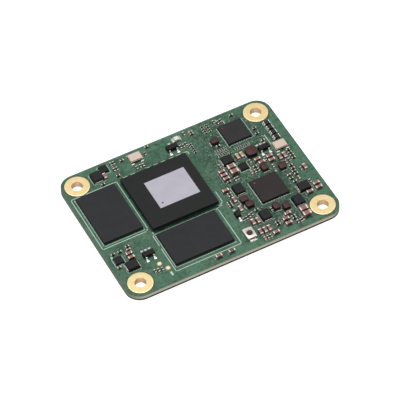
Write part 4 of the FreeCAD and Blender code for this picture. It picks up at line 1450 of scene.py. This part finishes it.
@dataclass
class SmallPackages(Assembly):
    """Crystals, leaded packages, the lamp and the resistor arrays."""

    toe_run: Run = Run(0.16, 0.16, share=1.05, axis=Axis.ACROSS)
    outline_run: Run = Run(0.52, 0.16, share=1.4, axis=Axis.DEEP)
    seam_inset: float = 0.03
    seam_margin: float = 0.16
    seam_height: float = 0.07
    pad_width: float = 0.7
    pad_reach: float = 0.3
    pad_climb: float = 0.2
    pad_lap: float = 0.01
    dressed: tuple[tuple[str, Finish, float], ...] = (
        ("crystal_bases", CRYSTAL_BASE, 0.04), ("crystal_lids", CRYSTAL_LID, 0.06),
        ("outline_package_bodies", MOULDING, 0.04), ("outline_package_leads", LEAD, 0.03),
        ("lamp_base", CERAMIC, 0.03), ("lamp_lens", LENS, 0.06), ("lamp_terminals", LEAD, 0.03),
        ("resistor_array_bodies", GLAZE, 0.03), ("resistor_array_terminals", LEAD, 0.03),
    )

    def pads(self, form: Form, base: Solid) -> None:
        """Run solder out of the four corner pads of a crystal.

        Args:
            form: Form to add it to.
            base: Box of the crystal's base.
        """
        run = fillet(self.pad_width, self.pad_reach, self.pad_climb)
        for across, deep in ((-1, -1), (1, -1), (1, 1), (-1, 1)):
            corner = Vector((
                across * (base.size.x - self.pad_width) / 2,
                deep * (base.size.y / 2 - self.pad_lap), 0,
            ))
            form.stamp(run, placed(base.seat + corner, deep * 90.0))

    def seams(self) -> None:
        """Bright ring that each crystal's lid is welded to."""
        form = Form()
        bases = self.solids("crystal_bases")
        for lid in self.solids("crystal_lids"):
            base = nearest(bases, lid)
            sides = [
                min(lid.size[axis] + self.seam_margin, base.size[axis] - self.seam_inset)
                for axis in range(2)
            ]
            form.stamp(block(Vector((*sides, self.seam_height))), placed(lid.seat))
        form.piece("crystal_seams", [SEAM], "lid_metal")

    def build(self) -> None:
        """Dress each package and solder its terminals."""
        for node, finish, edge in self.dressed:
            self.dress(node, finish, edge)
        form = Form()
        self.solder(form, "outline_package_leads", "outline_package_bodies", self.outline_run)
        self.solder(form, "lamp_terminals", "lamp_base", self.toe_run)
        self.solder(form, "resistor_array_terminals", "resistor_array_bodies", self.toe_run)
        for base in self.solids("crystal_bases"):
            self.pads(form, base)
        form.piece("lead_solder", [LEAD], "solder")
        self.seams()


@dataclass
class PushSwitch(Assembly):
    """Push switch: pressed cover with a round window, button, dome, base and tabs.

    Each point of the crown, the button's rounded top, is an inset from the stem and a drop
    from the top.
    """

    sheet: float = 0.1
    corner: float = 0.12
    collar: float = 0.1
    collar_share: float = 0.7
    roll: float = 0.02
    rim_share: float = 0.985
    sides: int = 64
    window: float = 0.75
    skirt_edge: float = 0.02
    skirt_share: float = 0.7
    apron_width: float = 0.74
    apron_height: float = 0.8
    flange_height: float = 0.1
    stem: float = 0.68
    crown: tuple[Plan, ...] = ((0, 0.06), (0.02, 0.02), (0.07, 0), (0.16, 0), (0.24, 0.04))
    hub: float = 0.001
    base_edge: float = 0.03
    tab_edge: float = 0.04
    tab_run: Run = Run(0.14, 0.14, share=1.02, lap=0.02, axis=Axis.DEEP)

    def rim(self, way: Vector, half: Vector) -> Vector:
        """Point of the cover's outline in a direction, its corners rounded.

        Args:
            way: Direction in plan.
            half: Half of the cover's sides.

        Returns:
            The point, from the cover's middle.
        """
        reach = min(half.x / max(abs(way.x), TINY), half.y / max(abs(way.y), TINY))
        rim = way * reach
        inner = Vector((half.x - self.corner, half.y - self.corner))
        over = Vector((abs(rim.x), abs(rim.y))) - inner
        if min(over) > 0 and over.length > self.corner:
            over = over.normalized() * self.corner
            rim.x = math.copysign(inner.x + over.x, rim.x)
            rim.y = math.copysign(inner.y + over.y, rim.y)
        return rim

    def plate(self, cover: Solid) -> Form:
        """Cover's top with round corners and a rolled collar at its window.

        Args:
            cover: Box of the CAD cover.

        Returns:
            The form, centred in plan.
        """
        top, foot = cover.high.z, cover.high.z - self.sheet
        window, roll = self.window, self.roll
        rings = []
        for way in directions(self.sides, 0.5):
            rim = self.rim(way, cover.size / 2)
            section = (
                (rim, foot), (rim, top - roll), (rim * self.rim_share, top),
                (way * (window + self.collar), top),
                (way * (window + self.collar * self.collar_share), top + roll),
                (way * (window + roll), top + roll), (way * window, top - roll / 2),
                (way * window, foot),
            )
            rings.append([Vector((point.x, point.y, level)) for point, level in section])
        return tube(rings, [0] * len(rings[0]))

    def shell(self, cover: Solid) -> None:
        """Build the cover: its top, two skirts down to the board and two aprons.

        Args:
            cover: Box of the CAD cover.
        """
        form = Form()
        form.stamp(self.plate(cover), placed(cover.axis))
        wide, deep, tall = cover.size - Vector((0, 0, self.sheet))
        skirt = block(Vector((self.sheet, deep * self.skirt_share, tall)), self.skirt_edge)
        size = Vector((wide * self.apron_width, self.sheet, tall * self.apron_height))
        apron = block(size, self.skirt_edge)
        rise = cover.low.z + tall * (1 - self.apron_height)
        for side in (-1, 1):
            shift = Vector((side * (wide - self.sheet) / 2, 0, cover.low.z))
            form.stamp(skirt, placed(cover.axis + shift))
            shift = Vector((0, side * (deep - self.sheet) / 2, rise))
            form.stamp(apron, placed(cover.axis + shift))
        form.piece("switch_shell", [SHELL], "lid_metal", ["switch_cover"])

    def cap(self, button: Solid) -> None:
        """Build the button: its flange under the cover, its stem and its dished top.

        Args:
            button: Box of the CAD button.
        """
        flange, stem, hub = button.size.x / 2, self.stem, self.hub
        low, high = button.low.z, button.high.z
        shoulder = low + self.flange_height
        profile = [
            (hub, low), (flange, low), (flange, shoulder), (stem, shoulder),
            *((stem - inset, high - drop) for inset, drop in self.crown),
            (hub, high - self.crown[-1][1]),
        ]
        cap = Form()
        cap.stamp(lathe(profile, self.sides), placed(button.axis))
        cap.piece("switch_cap", [BUTTON_PLASTIC], "button_plastic", ["switch_button"], BUTTON)

    def build(self) -> None:
        """Build the cover and the button, and dress what they hold."""
        self.dress("switch_base", SWITCH_PLASTIC, self.base_edge)
        self.dress("switch_dome", SHELL)
        self.dress("switch_terminals", LEAD, self.tab_edge)
        self.shell(self.solids("switch_cover")[0])
        self.cap(self.solids("switch_button")[0])
        form = Form()
        self.solder(form, "switch_terminals", "switch_base", self.tab_run)
        form.piece("switch_solder", [LEAD], "solder")


@dataclass
class Connectors(Assembly):
    """Contacts that stand in the three connectors under the board."""

    contacts: int = 50
    pitch: float = 0.4
    blade_width: float = 0.18
    blade_depth: float = 0.05
    blade_edge: float = 0.015
    tongue: float = 0.9
    wall: float = 0.4
    floor: float = 0.35
    mouth: float = 0.12
    housing_edge: float = 0.04

    def blades(self, home: Solid) -> Form:
        """Four rows of blades in a housing.

        Args:
            home: Box of the housing.

        Returns:
            The form.
        """
        turn = 0.0 if home.longer is Axis.ACROSS else 90.0
        tall = home.size.z - self.floor - self.mouth
        blade = block(Vector((self.blade_width, self.blade_depth, tall)), self.blade_edge)
        place = placed(home.seat + Vector((0, 0, self.mouth)), turn)
        half_blade = self.blade_depth / 2
        rows = self.tongue / 2 + half_blade, min(home.size.xy) / 2 - self.wall - half_blade
        form = Form()
        for index in range(self.contacts):
            along = (index - (self.contacts - 1) / 2) * self.pitch
            for deep in rows:
                for side in (-1, 1):
                    form.stamp(blade, place @ placed(Vector((along, side * deep, 0))))
        return form

    def build(self) -> None:
        """Dress each housing and its tails, and set the blades in it."""
        for side in ("front", "rear", "side"):
            node = side + "_connector_housing"
            self.dress(node, HOUSING, self.housing_edge)
            self.dress(side + "_connector_contacts", GOLD)
            form = self.blades(self.solids(node)[0])
            form.piece(side + "_connector_blades", [GOLD], "gold_plating")


def main() -> None:
    """Load the frame and dress every part of it."""
    logging.basicConfig(level=logging.INFO, format="%(message)s")
    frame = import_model()
    short_run = Run(0.18, 0.15, lap=0.1, inner=0.6)
    small = [DARK_BROWN, OLIVE, GLAZE, BROWN, OLIVE]
    for part in (
        Studio(),
        BoardDressing(frame),
        Processor(frame, "processor", MOULDING, pitch=0.65),
        GridPackage(frame, "left_memory", MEMORY),
        GridPackage(frame, "front_memory", MEMORY),
        LeadlessChip(frame, "network_chip_body", "network_chip_lands", CHIP_MOULDING),
        LeadlessChip(frame, "power_chip_body", "power_chip_lands", WARM_MOULDING),
        LeadlessChip(frame, "converter_bodies", "converter_lands", MOULDING, short_run),
        CappedChips(frame, "large_capacitor", BROWN),
        CappedChips(frame, "capacitor", MIXED_BROWN),
        CappedChips(frame, "film_capacitor", BEIGE),
        BlockChips(frame, "small_capacitors", "brown_ceramic", small, CREAM_TIN),
        BlockChips(frame, "small_resistors", "resistor_glaze", [GLAZE], CREAM_TIN),
        BlockChips(frame, "tiny_capacitors", "beige_ceramic", [OLIVE, GLAZE], CREAM_TIN),
        BlockChips(frame, "underside_capacitors", "brown_ceramic", [BROWN, PALE_BROWN]),
        Inductors(frame),
        SmallPackages(frame),
        PushSwitch(frame),
        Connectors(frame),
    ):
        part.build()


if __name__ == "__main__":
    main()
